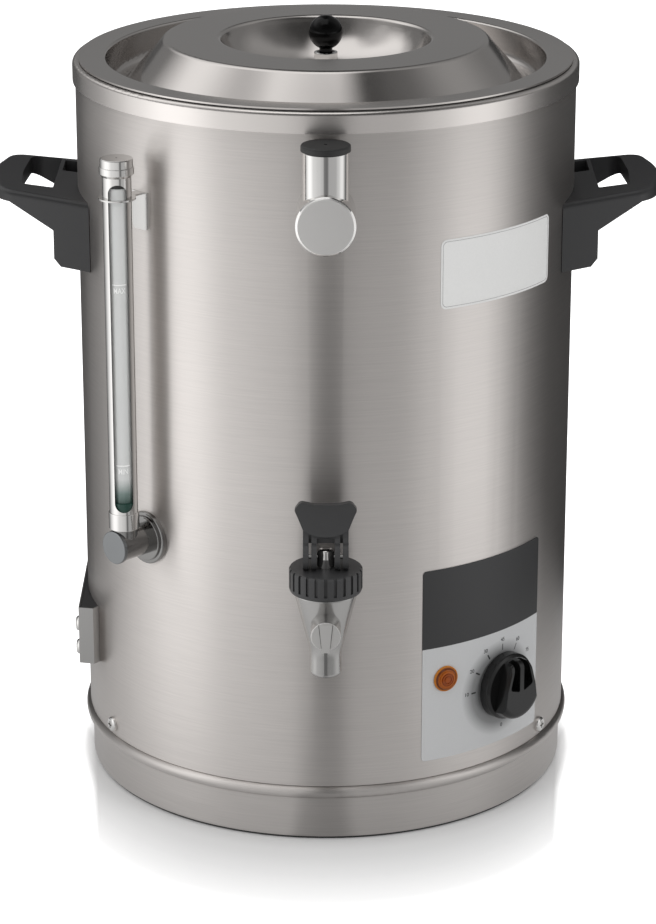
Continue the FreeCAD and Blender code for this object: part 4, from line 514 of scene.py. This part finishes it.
STICKER_AZIMUTH = 43.15
STICKER_SPAN = 34.5
STICKER_FOOT = 0.334
STICKER_TOP = 0.376
STICKER_ROUND = 0.004
STICKER_THICKNESS = 0.00012
STICKER_STEPS = 72
BORDER_INSET = 0.0012
BORDER_WIDTH = 0.00035
BORDER_LIFT = 0.00006


def make_sticker():
    """A bare white sticker with a thin border line."""
    radius = SHELL_RADIUS + STICKER_THICKNESS
    half = math.radians(STICKER_SPAN) / 2 * radius
    middle = (STICKER_FOOT + STICKER_TOP) / 2
    tall = (STICKER_TOP - STICKER_FOOT) / 2

    def place(along, height, lift=0.0):
        return on_cylinder(STICKER_AZIMUTH, radius + lift, along, height)

    def half_height(along, inset):
        """Half the sticker's height at this distance along it, less an inset all round."""
        past = abs(along) - (half - STICKER_ROUND)
        if past <= 0:
            return tall - inset
        round_off = STICKER_ROUND - inset
        return tall - STICKER_ROUND + math.sqrt(max(round_off ** 2 - past ** 2, 0.0))

    def stations(reach):
        """Places from -reach to reach, closer together near the ends."""
        return [-reach * math.cos(math.pi * step / STICKER_STEPS) for step in range(STICKER_STEPS + 1)]

    def face(shape):
        columns = []
        for along in stations(half):
            reach = half_height(along, 0.0)
            columns.append([shape.verts.new(place(along, middle + side * reach)) for side in (-1, 1)])
        for left, right in zip(columns, columns[1:]):
            shape.faces.new((left[0], right[0], right[1], left[1]))

    def border(shape):
        outline = [(along, 1) for along in stations(half - BORDER_INSET)]
        outline += [(along, -1) for along, _ in reversed(outline)]
        points = [(along, side * half_height(along, BORDER_INSET)) for along, side in outline]
        outer, inner = (
            [shape.verts.new(place(along * across, middle + height * up, BORDER_LIFT))
             for along, height in points]
            for across, up in ((1.0, 1.0), (1 - BORDER_WIDTH / half, 1 - BORDER_WIDTH / tall)))
        for index in range(len(points)):
            after = (index + 1) % len(points)
            shape.faces.new((outer[index], outer[after], inner[after], inner[index]))

    white = paper("sticker_white", (0.80, 0.80, 0.79))
    add_piece("blank_sticker", mesh_from("blank_sticker", face), white)
    grey = paper("sticker_line", (0.42, 0.42, 0.42))
    add_piece("sticker_border", mesh_from("sticker_border", border), grey)


TONGUE_DEPTH = 0.0008    # how far the barrel's face lies behind the tongue's
TONGUE_HALF_WIDTHS = (0.0022, 0.0038)
TONGUE_LEVELS = (0.1515, 0.1662)
# Painted shade lines along the parting, in the corners beside the raised tongue: their width and their gap
# from its sides.
PARTING_SHADE_WIDTH = 0.0004
PARTING_SHADE_GAP = 0.0003


def make_tongue_lines():
    """The parting lines down both sides of the tongue on the face of the tap's barrel, drawn dark as painted
    shade in the corners beside the raised tongue.
    """
    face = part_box("tap_body")[0].y + TONGUE_DEPTH - PRINT_LIFT
    # A dark grey ink for the painted shade along the parting lines.
    shadow = paper("painted_parting_shade", (0.10, 0.098, 0.095))

    def place(along, height):
        return Vector((along, face, height))

    def lines(shape):
        for side in (-1, 1):
            foot, top = ((side * (half + PARTING_SHADE_GAP), level)
                         for half, level in zip(TONGUE_HALF_WIDTHS, TONGUE_LEVELS))
            stripe(shape, foot, top, PARTING_SHADE_WIDTH, place, steps=1)

    add_piece("tongue_lines", mesh_from("tongue_lines", lines), shadow)


# Studio

# Rows of (azimuth, level) for the tent's wall and for what stands above it.
WALL_LEVELS = (
    (-180, 0.30), (-160, 0.22), (-148, 0.10), (-126, 0.08), (-116, 0.25), (-101, 0.39), (-88, 0.70),
    (-76, 1.10), (-61, 1.50), (-53, 1.48), (-35, 0.94), (-17, 0.80), (-7, 0.66), (-3, 0.24), (4, 0.20),
    (9, 0.52), (27, 0.54), (40, 0.78), (53, 1.10), (61, 1.15), (69, 0.95), (77, 0.54), (87, 0.22),
    (99, 0.10), (114, 0.07), (150, 0.05), (162, 0.20), (180, 0.30))
CEILING_LEVELS = (
    (-180, 0.05), (-168, 0.12), (-150, 0.95), (-110, 1.30), (-80, 0.70), (-50, 0.30), (-25, 0.10),
    (0, 0.05), (40, 0.06), (75, 0.16), (110, 0.40), (150, 0.30), (172, 0.08), (180, 0.05))
BRIGHTEST = 2.0
WALL_FOOT = (0.0, 0.14, 0.68, 1.0)    # the wall is dimmer near the table
WALL_FADE = (0.50, 0.80)
GAP_LEVEL = 0.12
CEILING_FADE = (1.45, 2.2)
OVERHEAD_MIDDLE = (-0.45, -0.20)
OVERHEAD_EDGES = ((0.75, 1.30), (0.80, 1.30))
OVERHEAD_FADE = (2.7, 3.1)
OVERHEAD_LEVEL = 0.62
TENT_PROFILE = (
    (0.36, 0.0005), (0.36, 0.50), (3.0, 0.80), (3.0, 1.60), (2.4, 2.60), (1.4, 3.20), (0.0, 3.40))
TENT_SIDES = 96


def level_round(tree, table):
    """A brightness that changes with the azimuth, from rows of (azimuth, level)."""
    stops = tuple(((azimuth + 180) / 360, level / BRIGHTEST) for azimuth, level in table)
    return tree.ramp(tree.azimuth(), stops, "EASE")


def tent_skin(shape):
    rings = []
    for radius, height in TENT_PROFILE[:-1]:
        turns = (2 * math.pi * step / TENT_SIDES for step in range(TENT_SIDES))
        rings.append([
            shape.verts.new((radius * math.sin(turn), -radius * math.cos(turn), height)) for turn in turns])
    top = shape.verts.new((0.0, 0.0, TENT_PROFILE[-1][1]))
    for step in range(TENT_SIDES):
        after = (step + 1) % TENT_SIDES
        for low, high in zip(rings, rings[1:]):
            shape.faces.new((low[step], low[after], high[after], high[step]))
        shape.faces.new((rings[-1][step], rings[-1][after], top))


def make_tent():
    """The studio's soft boxes and dark flags, as one closed tent that only reflections see."""
    tent = bpy.data.objects.new("studio_tent", mesh_from("studio_tent", tent_skin))
    bpy.context.collection.objects.link(tent)
    material, tree = new_material("studio_tent")
    _, x, y, z = tree.position()
    wall = tree.times(level_round(tree, WALL_LEVELS), tree.spread(z, *WALL_FOOT))
    level = tree.mix(tree.spread(z, *WALL_FADE), wall, rgba(WHITE, GAP_LEVEL))
    level = tree.mix(tree.spread(z, *CEILING_FADE), level, level_round(tree, CEILING_LEVELS))
    across, along = (
        tree.spread(tree.math("ABSOLUTE", tree.line(place, 1.0, -middle)), *edges, 1.0, 0.0)
        for place, middle, edges in zip((x, y), OVERHEAD_MIDDLE, OVERHEAD_EDGES))
    high = tree.spread(z, *OVERHEAD_FADE)
    overhead = tree.math("MULTIPLY", tree.math("MULTIPLY", across, along), high)
    level = tree.mix(overhead, level, rgba(WHITE, OVERHEAD_LEVEL))
    glow = tree.node("ShaderNodeEmission", {"Color": level, "Strength": BRIGHTEST})
    tree.node("ShaderNodeOutputMaterial", {"Surface": glow.outputs[0]})
    tent.data.materials.append(material)
    tent.visible_camera = False
    tent.visible_diffuse = False
    tent.visible_transmission = False
    tent.visible_shadow = False


def seen_directly(tree):
    """1 where the camera sees a surface, straight or through a mirror or glass."""
    path = tree.node("ShaderNodeLightPath").outputs
    seen = tree.math("MAXIMUM", path["Is Camera Ray"], path["Is Glossy Ray"])
    return tree.math("MAXIMUM", seen, path["Is Transmission Ray"])


# The painted shadow and reflection in front of the base: its levels over its reach, and where its sides and
# its rear end fade out.
FLOOR_RADIUS = 14.0
FLOOR_GREY = 0.80
SHADE_REACH = 0.11
SHADE_LEVELS = ((0.0, 0.05), (0.18, 0.08), (0.41, 0.17), (0.56, 0.25), (0.71, 0.33), (0.82, 0.50), (1.0, 1.0))
SHADE_HALF_WIDTH = 0.1535
SHADE_TAPER = 0.078
SHADE_SIDE_FADE = (-0.003, 0.004)
SHADE_REAR_FADE = (-0.005, 0.02)
# Painted contact shadow in a narrow ring round the base: its width and its darkest level.
CONTACT_SHADOW_WIDTH = 0.010
CONTACT_SHADOW_LEVEL = 0.35
# The table as reflections see it, by the distance from the axis and by the azimuth; its dimming near the base
# is painted shade.
TABLE_REACH = (0.14, 0.95)
TABLE_LEVELS = ((0.0, 0.26), (0.074, 0.32), (0.17, 0.42), (0.32, 0.50), (0.57, 0.64), (1.0, 0.80))
TABLE_FLAG = (
    (-180, 1.9), (-60, 1.9), (-10, 1.75), (-6, 1.05), (4, 1.05), (9, 1.55), (45, 1.6), (80, 1.9), (180, 1.9))


def make_floor():
    """A white table with a soft painted shadow and reflection of the body in front of the base and a painted
    contact shadow round the base; polished things see it dimmer near the base, as painted shade.
    """
    bpy.ops.mesh.primitive_circle_add(
        vertices=128, radius=FLOOR_RADIUS, fill_type="NGON", location=(0, 0, 0))
    floor = bpy.context.object
    floor.name = "floor"
    material, tree = new_material("floor")
    _, x, y, _ = tree.position()
    away = tree.distance()
    chord = tree.line(tree.math("MULTIPLY", x, x), -1.0, BASE_RADIUS ** 2)
    edge = tree.math("SQRT", tree.math("MAXIMUM", chord, 0.0))
    ahead = tree.math("SUBTRACT", tree.math("MULTIPLY", y, -1.0), edge)
    # Painted shadow and reflection of the body, fading with the distance ahead of the base.
    painted_shadow_and_reflection = tree.ramp(tree.spread(ahead, 0.0, SHADE_REACH), SHADE_LEVELS)
    past = tree.math("SUBTRACT", tree.math("ABSOLUTE", x), tree.line(y, SHADE_TAPER, SHADE_HALF_WIDTH))
    outside = tree.math(
        "MAXIMUM", tree.spread(past, *SHADE_SIDE_FADE), tree.spread(y, *SHADE_REAR_FADE))
    # Painted contact shadow in a narrow ring round the base.
    painted_contact_shadow = tree.spread(away, BASE_RADIUS, BASE_RADIUS + CONTACT_SHADOW_WIDTH, CONTACT_SHADOW_LEVEL, 1.0)
    level = tree.times(tree.mix(outside, painted_shadow_and_reflection, rgba(WHITE)), painted_contact_shadow)
    matt = tree.node("ShaderNodeBsdfDiffuse", {"Color": rgba(WHITE, FLOOR_GREY)})
    lift = tree.node("ShaderNodeEmission", {"Color": level, "Strength": seen_directly(tree)})
    seen = tree.node("ShaderNodeAddShader", {0: matt.outputs[0], 1: lift.outputs[0]})
    # Painted shade: reflections see the table darker near the base.
    table = tree.times(
        tree.ramp(tree.spread(away, *TABLE_REACH), TABLE_LEVELS), level_round(tree, TABLE_FLAG))
    mirrored = tree.node("ShaderNodeEmission", {"Color": table, "Strength": BRIGHTEST})
    polished = tree.node("ShaderNodeLightPath").outputs["Is Glossy Ray"]
    surface = tree.node("ShaderNodeMixShader", {0: polished, 1: seen.outputs[0], 2: mirrored.outputs[0]})
    tree.node("ShaderNodeOutputMaterial", {"Surface": surface.outputs[0]})
    floor.data.materials.append(material)


WORLD_LIGHT = 0.55


def make_world():
    world = bpy.data.worlds.new("studio")
    world.use_nodes = True
    bpy.context.scene.world = world
    tree = Tree(world.node_tree)
    strength = tree.fit(seen_directly(tree), WORLD_LIGHT, 1.0)
    sky = tree.node("ShaderNodeBackground", {"Color": rgba(WHITE), "Strength": strength})
    tree.node("ShaderNodeOutputWorld", {"Surface": sky.outputs[0]})


# Soft boxes, as (name, place, what it points at, size, power).
LAMPS = (
    ("top_light", (0.0, 0.1, 2.3), (0.0, 0.0, 0.0), (2.4, 2.4), 17.0),
    ("left_light", (-1.6, -1.5, 1.1), (0.0, 0.0, 0.25), (0.8, 1.8), 11.0),
    ("right_light", (1.7, -1.3, 1.0), (0.0, 0.0, 0.25), (0.7, 1.8), 9.0))


def make_lamps():
    for name, place, aim, size, power in LAMPS:
        light = bpy.data.lights.new(name, "AREA")
        light.shape = "RECTANGLE"
        light.size, light.size_y = size
        light.energy = power
        lamp = bpy.data.objects.new(name, light)
        lamp.location = place
        lamp.rotation_euler = (Vector(aim) - Vector(place)).to_track_quat("-Z", "Y").to_euler()
        lamp.visible_glossy = False
        lamp.visible_camera = False
        bpy.context.collection.objects.link(lamp)


CAMERA_PLACE = (0.0013, -1.9621, 0.8763)
CAMERA_PITCH = 19.22
CAMERA_LENS = 127.1


def make_camera():
    data = bpy.data.cameras.new("camera")
    data.lens = CAMERA_LENS
    camera = bpy.data.objects.new("camera", data)
    camera.location = CAMERA_PLACE
    camera.rotation_euler = (math.radians(90.0 - CAMERA_PITCH), 0.0, 0.0)
    bpy.context.collection.objects.link(camera)
    bpy.context.scene.camera = camera


bpy.context.scene.view_settings.view_transform = "Standard"
make_camera()
dress_nodes()
make_dial()
make_level_marks()
make_sticker()
make_tongue_lines()
make_tent()
make_floor()
make_world()
make_lamps()
